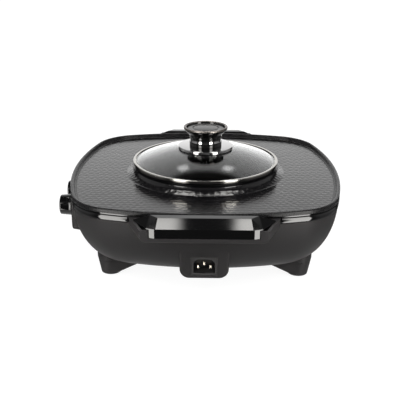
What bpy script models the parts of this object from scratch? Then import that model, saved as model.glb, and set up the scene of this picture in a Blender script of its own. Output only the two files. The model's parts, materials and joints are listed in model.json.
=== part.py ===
"""An electric hot pot and grill: a square griddle with a round pot cast into its middle, on a moulded base.

Sizes are in metres and the table is at z = 0. Everything is modelled about the pot's own upright axis, and
one empty then moves the whole appliance sideways, so that its box, knobs included, is centred on the origin.
"""

import math

import bmesh
import bpy
from mathutils import Matrix, Vector

# Fits shared by all pieces
fit_gap = 0.0003
cut_overrun = 0.002

# Heights, from the table up
ground_clearance = 0.020
shell_height = 0.0702
trim_height = 0.006
shadow_gap = 0.002
rim_height = 0.0052

# Griddle casting, in plan and in section
plate_width = 0.340
side_bow_radius = 0.4285
plate_corner_radius = 0.0608
rim_bevel = 0.0005
lip_width = 0.0028
lip_slope = 0.0022
lip_depth = 0.005
plate_thickness = 0.0035
plate_seat_width = 0.0082

# Pot in the casting
collar_radius = 0.092
collar_height = 0.0115
collar_fillet = 0.005
collar_wall = 0.0036
pot_floor_rise = 0.024
pot_taper = 0.0085
pot_fillet = 0.014
pot_wall = 0.0032

# Lower shell
shell_wall = 0.0025
shell_rim_step = 0.0007
shell_draft = 0.002
shell_tuck = 0.0443
bowl_power = 1.8

# Trim frame between the shell and the casting
trim_wall = 0.002
trim_bevel = 0.0006
trim_shoulder = 0.0016
trim_skirt_depth = 0.006
trim_break_width = 0.1668
trim_break_depth = 0.0035

# Handles, which stand out from the griddle's front and rear sides
handle_overhang = 0.029
handle_root_clearance = 0.0009
handle_root_width = 0.155
handle_corner_setback = 0.003
handle_corner_width = 0.124
handle_face_width = 0.106
handle_block_share = 0.69
handle_top_clearance = 0.005
handle_bevel_width = 0.015
handle_top_inner_width = 0.1174
handle_top_outer_width = 0.100
handle_rise = 0.0085
handle_crease_rise = 0.0015
handle_block_drop = 0.009
handle_wall = 0.0025
skirt_face_width = 0.1386
skirt_flare_share = 0.39
skirt_root_depth = 0.020
skirt_drop = 0.0145
skirt_corner_share = 0.86
skirt_edge = 0.0016
skirt_face_setback = 0.0007
handle_screw_spacing = 0.080
handle_screw_share = 0.78
handle_boss_radius = 0.004
handle_screw_recess = 0.0024
handle_seat_radius = 0.0062

# Power inlet and its box under the front handle
inlet_box_width = 0.056
inlet_box_inset = 0.0093
inlet_box_lift = 0.002
inlet_box_rise = 0.044
inlet_box_corner = 0.011
inlet_box_edge = 0.0015
inlet_centre_rise = 0.0155
inlet_flange_width = 0.030
inlet_flange_height = 0.0225
inlet_flange_thickness = 0.0012
inlet_opening_width = 0.0245
inlet_opening_height = 0.0168
inlet_opening_chamfer = 0.0046
inlet_recess_depth = 0.0165
inlet_body_wall = 0.0015
inlet_back_wall = 0.003
pin_width = 0.002
pin_height = 0.004
pin_spacing = 0.014
pin_recess = 0.003
pin_tab_length = 0.008
earth_pin_rise = 0.004

# Controls on the left side
control_box_length = 0.108
control_box_inset = 0.0012
control_box_bottom_rise = 0.014
control_box_top_drop = 0.010
control_box_corner = 0.008
control_box_edge = 0.0018
control_box_flare = 0.003
knob_radius = 0.0141
knob_length = 0.0172
knob_standoff = 0.0012
knob_spacing = 0.056
knob_lift = 0.0031
knob_skirt_length = 0.0035
knob_grip_share = 0.96
knob_edge = 0.0025
knob_bore_depth = 0.012
pointer_width = 0.0022
pointer_height = 0.0008
spindle_radius = 0.003
spindle_flat = 0.0008
bush_radius = 0.005
thermostat_length = 0.030
thermostat_height = 0.022
thermostat_depth = 0.014
thermostat_bore = 0.008
lens_radius = 0.0028
lens_rim = 0.001
lens_rim_height = 0.0008
lens_length = 0.007
lens_spacing = 0.012

# Feet, their pads and screws
foot_inset_x = 0.0562
foot_inset_y = 0.0714
foot_top_radius = 0.0155
foot_bottom_radius = 0.0123
foot_web_length = 0.042
foot_web_radius = 0.007
foot_edge = 0.001
foot_seat_drop = 0.0005
foot_boss_radius = 0.006
foot_boss_rise = 0.012
pad_radius = 0.009
pad_thickness = 0.003
pad_proud = 0.0012

# Fasteners
screw_radius = 0.002
screw_head_radius = 0.0038
screw_head_height = 0.0018
screw_hole_depth = 0.0065

# Posts that carry the casting, and the shield over the floor
post_radius = 0.0065
post_from_pot = 0.0246
post_angle = math.radians(31)
post_head_room = 0.024
spacer_thickness = 0.003
plate_boss_radius = 0.0055
plate_boss_height = 0.008
shield_margin = 0.012
shield_sheet = 0.0008
shield_rim_height = 0.010
shield_floor_gap = 0.0058
shield_rim_flare = 0.003
shield_post_radius = 0.005
shield_post_share = 0.75
shield_post_count = 3
shield_pin_radius = 0.002
shield_pin_height = 0.002
vent_length = 0.024
vent_width = 0.003
vent_pitch = 0.014
vent_row_count = 5
vent_row_spacing = 0.070

# Heating elements, cut-out and terminals
element_radius = 0.0035
plate_element_inset = 0.034
plate_element_tail_gap = 0.018
plate_element_tail = 0.011
pot_element_ring_radius = 0.048
pot_element_tail_gap = 0.014
pot_element_tail = 0.024
element_bend = 0.007
element_ease_share = 0.33
fuse_radius = 0.0022
fuse_length = 0.014
fuse_reach_share = 0.73
terminal_length = 0.034
terminal_depth = 0.010
terminal_height = 0.012
terminal_post_rise = 0.002
terminal_wall_gap = 0.002
terminal_ways = 3
terminal_hole_radius = 0.0016

# Lid: rim band, glass and the disc under the knob
lid_rim_overhang = 0.0016
lid_sheet = 0.0006
lid_grip_width = 0.0034
lid_skirt_depth = 0.005
lid_skirt_clearance = 0.001
glass_thickness = 0.003
glass_flat_rim = 0.0032
glass_dome_rise = 0.0183
glass_flat_top_radius = 0.025
disc_radius = 0.0355
disc_sheet = 0.0008
disc_edge = 0.0005
gasket_radius = 0.014
gasket_thickness = 0.0008
washer_radius = 0.011
washer_thickness = 0.001
lid_screw_radius = 0.0025
lid_screw_head_radius = 0.005
lid_screw_head_height = 0.003
lid_screw_crown_share = 0.7

# Lid knob
grip_base_radius = 0.0211
grip_waist_radius = 0.0181
grip_neck_radius = 0.0213
grip_ring_radius = 0.0283
grip_height = 0.0245
grip_recess_share = 0.855
grip_recess_depth = 0.004
grip_bore_depth = 0.012
grip_shoulder_share = 0.8
grip_flare_shares = (0.1, 0.5)
grip_height_shares = (0.01, 0.05, 0.08, 0.12, 0.15, 0.2, 0.59, 0.625, 0.735, 0.86, 0.925, 0.98, 1, 0.99)
cap_thickness = 0.0014
cap_edge = 0.0004
cap_groove_share = 0.73
cap_groove_width = 0.0006
cap_groove_depth = 0.0004

# Smoothness
side_steps = 6
corner_steps = 6
bowl_steps = 7
fillet_steps = 3
glass_steps = 4
round_steps = 32
small_steps = 8

# Colour, roughness and metallic value of each finish
finishes = {
    "matte_black_plastic": ((0.045, 0.043, 0.043), 0.55, 0.0),
    "gloss_black_plastic": ((0.012, 0.012, 0.012), 0.12, 0.0),
    "coated_aluminium": ((0.055, 0.053, 0.055), 0.35, 0.3),
    "polished_steel": ((0.62, 0.61, 0.59), 0.15, 1.0),
    "plain_steel": ((0.5, 0.5, 0.5), 0.35, 1.0),
    "element_sheath": ((0.3, 0.29, 0.28), 0.45, 1.0),
    "shield_sheet": ((0.72, 0.72, 0.72), 0.3, 1.0),
    "ceramic": ((0.75, 0.73, 0.68), 0.6, 0.0),
    "brass": ((0.72, 0.55, 0.25), 0.3, 1.0),
    "lens_red": ((0.55, 0.03, 0.02), 0.15, 0.0),
    "black_rubber": ((0.02, 0.02, 0.02), 0.8, 0.0),
    "clear_glass": ((0.8, 0.85, 0.84), 0.03, 0.0),
    "white_silicone": ((0.7, 0.7, 0.68), 0.6, 0.0),
    "satin_grey_cap": ((0.12, 0.12, 0.12), 0.4, 0.2),
}

# Levels worked out from the heights above
half_plate = plate_width / 2
shell_floor_z = ground_clearance
shell_rim_z = shell_floor_z + shell_height
trim_bottom_z = shell_rim_z + fit_gap
trim_top_z = trim_bottom_z + trim_height
trim_ledge_z = trim_top_z + shadow_gap
plate_rim_z = trim_ledge_z + fit_gap
lip_z = plate_rim_z + rim_height
griddle_z = lip_z - lip_depth
plate_under_z = griddle_z - plate_thickness
collar_top_z = griddle_z + collar_height
pot_floor_z = shell_floor_z + pot_floor_rise
pot_under_z = pot_floor_z - pot_wall
collar_inner_radius = collar_radius - collar_wall
lid_rim_radius = collar_radius + lid_rim_overhang
shell_floor_top_z = shell_floor_z + shell_wall
skirt_top_z = trim_top_z - fit_gap
handle_seat_z = skirt_top_z + fit_gap
skirt_bottom_z = handle_seat_z - skirt_drop
skirt_corner_radius = skirt_corner_share * skirt_drop
control_bottom_z = shell_floor_z + control_box_bottom_rise
control_top_z = shell_rim_z - control_box_top_drop
knob_z = (control_bottom_z + control_top_z) / 2 + knob_lift

# Reaches of the handles, worked out from the griddle's side
handle_reach = half_plate + handle_overhang
handle_root_reach = half_plate + handle_root_clearance
handle_corner_reach = handle_reach - handle_corner_setback
handle_top_inner_reach = half_plate + handle_top_clearance
handle_top_outer_reach = handle_reach - handle_bevel_width
handle_screw_reach = handle_top_inner_reach
handle_screw_reach += handle_screw_share * (handle_top_outer_reach - handle_top_inner_reach)
handle_screw_seat_z = skirt_bottom_z + handle_screw_recess
handle_block_width = handle_face_width
handle_block_width += handle_block_share * (handle_corner_width - handle_face_width)
skirt_root_reach = half_plate - skirt_root_depth
front, rear = -1, 1


def new_collection(name):
    collection = bpy.data.collections.new(name)
    bpy.context.scene.collection.children.link(collection)
    return collection


def clear_scene():
    for piece in list(bpy.data.objects):
        bpy.data.objects.remove(piece)


def make_finish(name):
    material = bpy.data.materials.get(name)
    if material:
        return material
    colour, roughness, metallic = finishes[name]
    material = bpy.data.materials.new(name)
    material.use_nodes = True
    shader = material.node_tree.nodes["Principled BSDF"]
    shader.inputs["Base Color"].default_value = (*colour, 1)
    shader.inputs["Roughness"].default_value = roughness
    shader.inputs["Metallic"].default_value = metallic
    if name == "clear_glass":
        shader.inputs["Transmission Weight"].default_value = 1
    return material


def place_object(name, mesh, finish):
    """Link a mesh as a part of the appliance, or as a hidden cutter when it has no finish."""
    piece = bpy.data.objects.new(name, mesh)
    piece.parent = pot_axis
    if finish:
        mesh.materials.append(make_finish(finish))
        part_collection.objects.link(piece)
    else:
        piece.hide_render = True
        piece.display_type = "WIRE"
        cutter_collection.objects.link(piece)
    return piece


def finish_mesh(name, shape, finish):
    """Turn a closed bmesh into an object, its faces outwards, smooth but for its real edges."""
    bmesh.ops.recalc_face_normals(shape, faces=shape.faces)
    mesh = bpy.data.meshes.new(name)
    shape.to_mesh(mesh)
    shape.free()
    mesh.shade_smooth()
    mesh.set_sharp_from_angle(angle=math.radians(35))
    return place_object(name, mesh, finish)


def loft(name, rings, finish=None, closed=False):
    """Skin rings of equal point counts in turn, and cap both ends or close the last ring onto the first."""
    shape = bmesh.new()
    loops = [[shape.verts.new(point) for point in ring] for ring in rings]
    count = len(rings[0])
    pairs = list(zip(loops, loops[1:]))
    if closed:
        pairs.append((loops[-1], loops[0]))
    for lower, upper in pairs:
        for i in range(count):
            j = (i + 1) % count
            shape.faces.new((lower[i], lower[j], upper[j], upper[i]))
    if not closed:
        shape.faces.new(loops[0])
        shape.faces.new(loops[-1])
    return finish_mesh(name, shape, finish)


def turned(name, profile, finish=None, centre=(0, 0), steps=round_steps, ring=False):
    """Turn (radius, height) points, given down the outer side, about an upright axis through the centre."""
    mesh = bpy.data.meshes.new(name)
    count = len(profile)
    edges = [(i, i + 1) for i in range(count - 1)]
    if ring:
        edges.append((count - 1, 0))
    mesh.from_pydata([(radius, 0, height) for radius, height in profile], edges, [])
    piece = place_object(name, mesh, finish)
    piece.location = (*centre, 0)
    turn = piece.modifiers.new("turn", "SCREW")
    turn.steps = steps
    turn.render_steps = steps
    turn.use_merge_vertices = True
    turn.merge_threshold = 1e-5
    return piece


def block(name, low, high, finish=None):
    low = Vector(low)
    high = Vector(high)
    shape = bmesh.new()
    size = Matrix.Diagonal((*(high - low), 1))
    bmesh.ops.create_cube(shape, size=1, matrix=Matrix.Translation((low + high) / 2) @ size)
    return finish_mesh(name, shape, finish)


def rod(name, start, end, radius, finish=None, steps=small_steps):
    """A cylinder between two points."""
    start = Vector(start)
    end = Vector(end)
    turn = (end - start).to_track_quat("Z", "Y").to_matrix().to_4x4()
    shape = bmesh.new()
    bmesh.ops.create_cone(
        shape,
        cap_ends=True,
        segments=steps,
        radius1=radius,
        radius2=radius,
        depth=(end - start).length,
        matrix=Matrix.Translation((start + end) / 2) @ turn,
    )
    return finish_mesh(name, shape, finish)


def combine(piece, operation, others):
    for other in others:
        step = piece.modifiers.new(f"{operation.lower()} {other.name}", "BOOLEAN")
        step.operation = operation
        step.solver = "EXACT"
        step.object = other


def join(piece, *others):
    combine(piece, "UNION", others)


def cut(piece, *others):
    combine(piece, "DIFFERENCE", others)


def arc(centre, radius, start, end, steps):
    """Points along an arc, both ends included; angles in degrees."""
    angles = [math.radians(start + (end - start) * step / steps) for step in range(steps + 1)]
    return [(centre[0] + radius * math.cos(a), centre[1] + radius * math.sin(a)) for a in angles]


def plan_outline():
    """The griddle's plan: four shallow arcs as sides, joined by four tight arcs at the corners."""
    bow_centre = half_plate - side_bow_radius
    reach = side_bow_radius - plate_corner_radius
    corner_centre = (bow_centre + math.sqrt(2 * reach**2 - bow_centre**2)) / 2
    turn = math.degrees(math.atan2(corner_centre, corner_centre - bow_centre))
    side = arc((bow_centre, 0), side_bow_radius, -turn, turn, side_steps)
    corner = arc((corner_centre, corner_centre), plate_corner_radius, turn, 90 - turn, corner_steps)
    quarter = side[:-1] + corner[:-1]
    outline = list(quarter)
    for _ in range(3):
        quarter = [(-y, x) for x, y in quarter]
        outline += quarter
    return outline


def plan_ring(inset, z):
    """The griddle's outline drawn in by an inset at mid side, and by a like share all round."""
    share = 1 - inset / half_plate
    return [(x * share, y * share, z) for x, y in plan_outline()]


def round_ring(radius, z):
    """A circle with as many points as the outline, evenly spaced."""
    count = 4 * (side_steps + corner_steps)
    angles = [2 * math.pi * (step - side_steps / 2) / count for step in range(count)]
    return [(radius * math.cos(angle), radius * math.sin(angle), z) for angle in angles]


def shell_inset(drop_share):
    """How far the shell's wall lies in from the griddle's edge, a share of the way down."""
    curve = 1 - math.sqrt(max(0, 1 - drop_share**bowl_power))
    return shell_rim_step + shell_draft * drop_share + shell_tuck * curve


def bowl_rings(extra_inset, floor_z):
    rings = []
    for step in range(bowl_steps + 1):
        drop_share = math.sin(math.pi / 2 * step / bowl_steps) ** (2 / bowl_power)
        z = shell_rim_z - drop_share * (shell_rim_z - floor_z)
        rings.append(plan_ring(shell_inset(drop_share) + extra_inset, z))
    return rings


def shell_inner_inset(z):
    """Inset of the shell's inner wall at a height."""
    return shell_inset((shell_rim_z - z) / (shell_rim_z - shell_floor_top_z)) + shell_wall


def rounded_bottom_profile(half_width, top, bottom, radius):
    """Across and up: a flat top, straight sides and a flat bottom with rounded corners."""
    left = arc((radius - half_width, bottom + radius), radius, 180, 270, fillet_steps)
    right = arc((half_width - radius, bottom + radius), radius, 270, 360, fillet_steps)
    return [(-half_width, top), *left, *right, (half_width, top)]


def facing_ring(side, reach, profile):
    """Stand a profile of (across, up) points on the front or rear side, facing out."""
    return [(across, side * reach, up) for across, up in profile]


def skirt_rings(side, wall, root_reach, top):
    """Handle skirt, from its root to its face, narrower at the face and with an eased edge there."""
    face_reach = handle_reach - skirt_face_setback - wall
    face_half = skirt_face_width / 2 - wall
    root_half = face_half + skirt_flare_share * (face_reach - skirt_edge - root_reach)
    sizes = [(root_reach, root_half, 0), (face_reach - skirt_edge, face_half, 0)]
    sizes.append((face_reach, face_half - skirt_edge, skirt_edge))
    rings = []
    for reach, half_width, ease in sizes:
        bottom = skirt_bottom_z + wall + ease
        radius = skirt_corner_radius - wall - ease
        rings.append(facing_ring(side, reach, rounded_bottom_profile(half_width, top, bottom, radius)))
    return rings


def add_handle_skirt(shell, side, name):
    """The matte lower half of a handle: a hollow bracket grown out of the shell's wall."""
    skirt = loft(f"{name}_skirt", skirt_rings(side, 0, skirt_root_reach, skirt_top_z))
    join(shell, skirt)


def cut_handle_skirt(shell, side, name):
    """Hollow the bracket, open its face for the cap's front block and give it seats for two sunk screws."""
    above = lip_z
    pocket_root = handle_root_reach + handle_wall + fit_gap
    pocket = loft(f"{name}_pocket", skirt_rings(side, shell_wall, pocket_root, above))
    window_low = handle_seat_z - handle_block_drop - fit_gap
    window_half = handle_block_width / 2 + fit_gap
    window_ends = (handle_corner_reach - handle_wall, handle_reach + cut_overrun)
    window_bottom = [(-window_half, window_low), (window_half, window_low)]
    corners = window_bottom + [(window_half, above), (-window_half, above)]
    window = loft(f"{name}_window", [facing_ring(side, reach, corners) for reach in window_ends])
    cut(shell, pocket, window)
    for number, x in enumerate((-handle_screw_spacing / 2, handle_screw_spacing / 2)):
        place = (x, side * handle_screw_reach)
        floor = (*place, skirt_bottom_z + shell_wall / 2)
        seat_top = (*place, handle_screw_seat_z + shell_wall)
        below = (*place, skirt_bottom_z - cut_overrun)
        head_end = (*place, handle_screw_seat_z)
        above_seat = (*place, handle_screw_seat_z + shell_wall + cut_overrun)
        join(shell, rod(f"{name}_seat_{number}", floor, seat_top, handle_seat_radius))
        cut(shell, rod(f"{name}_counterbore_{number}", below, head_end, screw_head_radius + 2 * fit_gap))
        cut(shell, rod(f"{name}_hole_{number}", below, above_seat, screw_radius + fit_gap))


def trim_clearance():
    """The space over the shell's rim that the trim frame and the casting need, with their clearance."""
    rings = [plan_ring(-fit_gap, shell_rim_z), plan_ring(-fit_gap, lip_z + cut_overrun)]
    return loft("trim_clearance", rings)


def inlet_box_rings(wall, inner_reach, bottom):
    face_reach = half_plate - inlet_box_inset - wall
    top = shell_floor_z + inlet_box_rise - wall
    half_width = inlet_box_width / 2 - wall
    radius = inlet_box_corner - wall
    rings = []
    for reach, ease in ((inner_reach, 0), (face_reach - inlet_box_edge, 0), (face_reach, inlet_box_edge)):
        profile = rounded_bottom_profile(half_width - ease, top, bottom + ease, radius - ease)
        rings.append(facing_ring(front, reach, profile))
    return rings


def rounded_profile(half_width, bottom, top, radius):
    """A rectangle with four rounded corners, across and up."""
    corners = (
        (half_width - radius, bottom + radius, 270),
        (half_width - radius, top - radius, 0),
        (radius - half_width, top - radius, 90),
        (radius - half_width, bottom + radius, 180),
    )
    points = []
    for across, up, start in corners:
        points += arc((across, up), radius, start, start + 90, fillet_steps)
    return points


def control_box_rings(wall, inner_x):
    """Control box on the left side, wider where it meets the shell, with an eased edge round its face."""
    face_x = control_face_x() + wall
    bottom = control_bottom_z + wall
    top = control_top_z - wall
    half_length = control_box_length / 2 - wall
    radius = control_box_corner
    rings = []
    eased = face_x + control_box_edge
    for x, grow in ((face_x, -control_box_edge), (eased, 0), (inner_x, control_box_flare)):
        profile = rounded_profile(half_length + grow, bottom - grow, top + grow, radius)
        rings.append([(x, across, up) for across, up in profile])
    return rings


def control_face_x():
    return control_box_inset - half_plate


def foot_places():
    x = half_plate - foot_inset_x
    y = half_plate - foot_inset_y
    return [(-x, -y), (x, -y), (x, y), (-x, y)]


def foot_ring(place, radius, web_length, web_radius, z):
    """A round end at the foot's axis, drawn out towards the middle to a smaller round end."""
    towards_middle = -math.copysign(1, place[0])
    points = []
    count = 2 * small_steps
    for step in range(count):
        angle = 2 * math.pi * (step + 0.5) / count
        along = math.cos(angle)
        inner_end = along > 0
        size = web_radius if inner_end else radius
        shift = web_length if inner_end else 0
        x = place[0] + towards_middle * (shift + size * along)
        points.append((x, place[1] + size * math.sin(angle), z))
    return points


def post_places():
    reach = collar_radius + post_from_pot
    x = reach * math.cos(post_angle)
    y = reach * math.sin(post_angle)
    return [(-x, -y), (x, -y), (x, y), (-x, y)]


def plate_boss_bottom_z():
    return plate_under_z - plate_boss_height


def post_top_z():
    return plate_boss_bottom_z() - spacer_thickness - 2 * fit_gap


def post_shelf_z():
    """Underside of the web inside a post, where the long screw's head sits."""
    return post_top_z() - post_head_room


def shield_radius():
    return collar_radius + shield_margin


def shield_bottom_z():
    return shell_floor_top_z + shield_floor_gap


def shield_post_places():
    reach = shield_radius() * shield_post_share
    angles = [2 * math.pi * (number + 0.75) / shield_post_count for number in range(shield_post_count)]
    return [(reach * math.cos(angle), reach * math.sin(angle)) for angle in angles]


def add_shell_bosses(shell):
    """Posts, screw bosses and seats that stand on the shell's floor inside."""
    root_z = shell_floor_z + shell_wall / 2
    post_steps = 2 * small_steps
    for number, place in enumerate(post_places()):
        ends = (*place, root_z), (*place, post_top_z())
        join(shell, rod(f"post_{number}", *ends, post_radius, steps=post_steps))
    for number, place in enumerate(foot_places()):
        top = foot_top_z() + foot_boss_rise
        low = foot_top_z() + shell_wall
        join(shell, rod(f"foot_boss_{number}", (*place, low), (*place, top), foot_boss_radius))
    seat_z = shield_bottom_z() - fit_gap
    pin_z = shield_bottom_z() + shield_sheet + shield_pin_height
    for number, place in enumerate(shield_post_places()):
        join(shell, rod(f"shield_post_{number}", (*place, root_z), (*place, seat_z), shield_post_radius))
        join(shell, rod(f"shield_pin_{number}", (*place, root_z), (*place, pin_z), shield_pin_radius))
    low, high = terminal_box()
    join(shell, block("terminal_post", (low[0], low[1], root_z), (high[0], high[1], low[2] - fit_gap)))


def cut_post_holes(shell):
    """A deep wide hole from below for the head of each long screw, and a narrow one on through the web."""
    hole_top = post_shelf_z()
    for number, place in enumerate(post_places()):
        wide = rod(
            f"post_counterbore_{number}",
            (*place, shell_floor_z - cut_overrun),
            (*place, hole_top),
            screw_head_radius + 2 * fit_gap,
        )
        narrow = rod(
            f"post_hole_{number}",
            (*place, hole_top - cut_overrun),
            (*place, post_top_z() + cut_overrun),
            screw_radius + fit_gap,
        )
        cut(shell, wide, narrow)


def cut_foot_holes(shell):
    for number, place in enumerate(foot_places()):
        low = (*place, foot_top_z() - cut_overrun)
        high = (*place, foot_screw_end_z() + fit_gap)
        cut(shell, rod(f"foot_hole_{number}", low, high, screw_radius + fit_gap))


def cut_vents(shell):
    """Two rows of slots with round ends through the floor, under the shield."""
    low = shell_floor_z - cut_overrun
    high = shell_floor_top_z + cut_overrun
    radius = vent_width / 2
    straight = vent_length / 2 - radius
    outline = arc((0, straight), radius, 0, 180, fillet_steps)
    outline += arc((0, -straight), radius, 180, 360, fillet_steps)
    for row in (front, rear):
        for number in range(vent_row_count):
            x = (number - (vent_row_count - 1) / 2) * vent_pitch
            y = row * vent_row_spacing / 2
            rings = [[(x + across, y + along, z) for across, along in outline] for z in (low, high)]
            cut(shell, loft(f"vent_{row}_{number}", rings))


def knob_places():
    return [("front", -knob_spacing / 2, knob_z), ("rear", knob_spacing / 2, knob_z)]


def lens_places():
    return [("front", -lens_spacing / 2, knob_z), ("rear", lens_spacing / 2, knob_z)]


def cut_control_holes(shell):
    outside = control_face_x() - cut_overrun
    inside = control_face_x() + shell_wall + cut_overrun
    for name, y, z in knob_places():
        radius = bush_radius + fit_gap
        cut(shell, rod(f"bush_hole_{name}", (outside, y, z), (inside, y, z), radius, steps=2 * small_steps))
    for name, y, z in lens_places():
        cut(shell, rod(f"lens_hole_{name}", (outside, y, z), (inside, y, z), lens_radius + fit_gap))


def cut_inlet_hole(shell):
    """Opening in the inlet box's face for the socket's body, and a shallow seat for its flange."""
    face = half_plate - inlet_box_inset
    z = inlet_centre_z()
    body_half, body_rise = inlet_body_half_sizes()
    hole = block(
        "inlet_hole",
        (-body_half - fit_gap, -face - cut_overrun, z - body_rise - fit_gap),
        (body_half + fit_gap, -face + shell_wall + cut_overrun, z + body_rise + fit_gap),
    )
    seat_half = inlet_flange_width / 2 + fit_gap
    seat_rise = inlet_flange_height / 2 + fit_gap
    seat = block(
        "inlet_seat",
        (-seat_half, -face - cut_overrun, z - seat_rise),
        (seat_half, -face + inlet_flange_thickness, z + seat_rise),
    )
    cut(shell, hole, seat)


def add_lower_shell():
    """One moulding: a tucked-under bowl with handle skirts, boxes for inlet and controls, and foot seats."""
    shell = loft("lower_shell", bowl_rings(0, shell_floor_z), "matte_black_plastic")
    add_handle_skirt(shell, front, "front_handle")
    add_handle_skirt(shell, rear, "rear_handle")
    box_root = half_plate - shell_tuck
    join(shell, loft("inlet_box", inlet_box_rings(0, box_root, shell_floor_z + inlet_box_lift)))
    join(shell, loft("control_box", control_box_rings(0, shell_wall - half_plate + control_box_length / 4)))
    for number, place in enumerate(foot_places()):
        rings = []
        for z in (foot_top_z() + fit_gap, shell_floor_z + foot_boss_rise):
            rings.append(foot_ring(place, foot_top_radius, foot_web_length, foot_web_radius, z))
        join(shell, loft(f"foot_seat_{number}", rings))
    cavity = bowl_rings(shell_wall, shell_floor_top_z)
    cavity.insert(0, plan_ring(shell_inner_inset(shell_rim_z), shell_rim_z + cut_overrun))
    cut(shell, trim_clearance(), loft("bowl_cavity", cavity))
    inlet_floor = shell_floor_z + inlet_box_lift + shell_wall
    cut(shell, loft("inlet_cavity", inlet_box_rings(shell_wall, box_root - cut_overrun, inlet_floor)))
    inner_x = shell_wall - half_plate + control_box_length / 4 + cut_overrun
    cut(shell, loft("control_cavity", control_box_rings(shell_wall, inner_x)))
    cut_handle_skirt(shell, front, "front_handle")
    cut_handle_skirt(shell, rear, "rear_handle")
    add_shell_bosses(shell)
    cut_post_holes(shell)
    cut_foot_holes(shell)
    cut_vents(shell)
    cut_control_holes(shell)
    cut_inlet_hole(shell)


def add_upper_frame():
    """Glossy ring: a band outside, a ledge that carries the casting and a skirt inside the shell's wall."""
    skirt_low = trim_bottom_z - trim_skirt_depth
    skirt_outer = shell_inner_inset(skirt_low) + fit_gap
    skirt_inner = skirt_outer + trim_wall
    ledge_inner = plate_seat_width - fit_gap
    section = [
        (0, trim_bottom_z),
        (0, trim_top_z - trim_bevel),
        (trim_bevel, trim_top_z),
        (trim_shoulder, trim_top_z),
        (trim_shoulder, trim_ledge_z),
        (ledge_inner, trim_ledge_z),
        (ledge_inner, trim_ledge_z - trim_wall),
        (skirt_inner, trim_ledge_z - trim_wall),
        (skirt_inner, skirt_low),
        (skirt_outer, skirt_low),
        (skirt_outer, trim_bottom_z),
    ]
    rings = [plan_ring(inset, z) for inset, z in section]
    frame = loft("upper_frame", rings, "gloss_black_plastic", closed=True)
    for side, name in ((front, "front"), (rear, "rear")):
        near = side * (half_plate - trim_break_depth)
        far = side * (half_plate + cut_overrun)
        half = trim_break_width / 2
        corner = half_plate - outline_sag(half) - trim_break_depth
        outline = [(-half, corner), (0, abs(near)), (half, corner), (half, abs(far)), (-half, abs(far))]
        levels = (trim_bottom_z - cut_overrun, trim_top_z + shadow_gap / 2)
        rings = [[(x, side * y, z) for x, y in outline] for z in levels]
        cut(frame, loft(f"trim_break_{name}", rings))


def outline_sag(across):
    """How far the bowed side lies behind its middle, at a distance across."""
    return side_bow_radius - math.sqrt(side_bow_radius**2 - across**2)


def handle_polygon(side, half_outline, z):
    """A level outline from its left half, given as (reach, half width) points."""
    left = [(-half, side * reach, z) for reach, half in half_outline]
    right = [(half, side * reach, z) for reach, half in reversed(half_outline)]
    return left + right


def handle_rings(side, wall):
    """Cap from its seat to its crease and in to its flat top; a wall draws every ring in for the hollow."""
    lower = [
        (handle_root_reach + wall, handle_root_width / 2 - wall),
        (handle_corner_reach - wall, handle_corner_width / 2 - wall),
        (handle_reach - wall, handle_face_width / 2 - wall),
    ]
    middle_reach = (handle_top_inner_reach + handle_top_outer_reach) / 2
    middle_width = (handle_top_inner_width + handle_top_outer_width) / 2
    upper = [
        (handle_top_inner_reach + wall, handle_top_inner_width / 2 - wall),
        (middle_reach, middle_width / 2 - wall),
        (handle_top_outer_reach - wall, handle_top_outer_width / 2 - wall),
    ]
    seat = handle_seat_z - (cut_overrun if wall else 0)
    crease = handle_seat_z + handle_crease_rise - wall / 2
    top = handle_seat_z + handle_rise - wall
    levels = ((lower, seat), (lower, crease), (upper, top))
    return [handle_polygon(side, polygon, z) for polygon, z in levels]


def block_rings(side):
    """The cap's front block, which drops into the window of the skirt."""
    chamfer_reach = handle_reach - handle_block_share * handle_corner_setback
    outline = [
        (handle_corner_reach - handle_wall + fit_gap, handle_block_width / 2),
        (chamfer_reach, handle_block_width / 2),
        (handle_reach, handle_face_width / 2),
    ]
    low = handle_seat_z - handle_block_drop
    high = handle_seat_z + handle_crease_rise
    return [handle_polygon(side, outline, z) for z in (low, high)]


def add_handle(side, name):
    """Faceted glossy cap: hollow, with a front block, two screw bosses and blind holes up into them."""
    cap = loft(name, handle_rings(side, 0), "gloss_black_plastic")
    cut(cap, loft(f"{name}_hollow", handle_rings(side, handle_wall)))
    join(cap, loft(f"{name}_block", block_rings(side)))
    boss_low = handle_screw_seat_z + shell_wall + fit_gap
    boss_high = handle_seat_z + handle_rise - handle_wall / 2
    bore_top = boss_low + screw_hole_depth + fit_gap
    for number, x in enumerate((-handle_screw_spacing / 2, handle_screw_spacing / 2)):
        place = (x, side * handle_screw_reach)
        join(cap, rod(f"{name}_boss_{number}", (*place, boss_low), (*place, boss_high), handle_boss_radius))
        bore_low = (*place, boss_low - cut_overrun)
        cut(cap, rod(f"{name}_bore_{number}", bore_low, (*place, bore_top), screw_radius + fit_gap))
        corner = "left" if x < 0 else "right"
        add_screw(f"{name}_screw_{corner}", place, handle_screw_seat_z - fit_gap, boss_low + screw_hole_depth)


def add_screw(name, place, head_seat_z, tip_z):
    """A pan-head screw driven upwards: its head lies under the seat and its shank ends at the tip."""
    head_low = head_seat_z - screw_head_height
    profile = [
        (0, tip_z),
        (screw_radius, tip_z),
        (screw_radius, head_seat_z),
        (screw_head_radius, head_seat_z),
        (screw_head_radius, head_low),
        (0, head_low),
    ]
    turned(name, profile, "plain_steel", place, small_steps)


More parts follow.
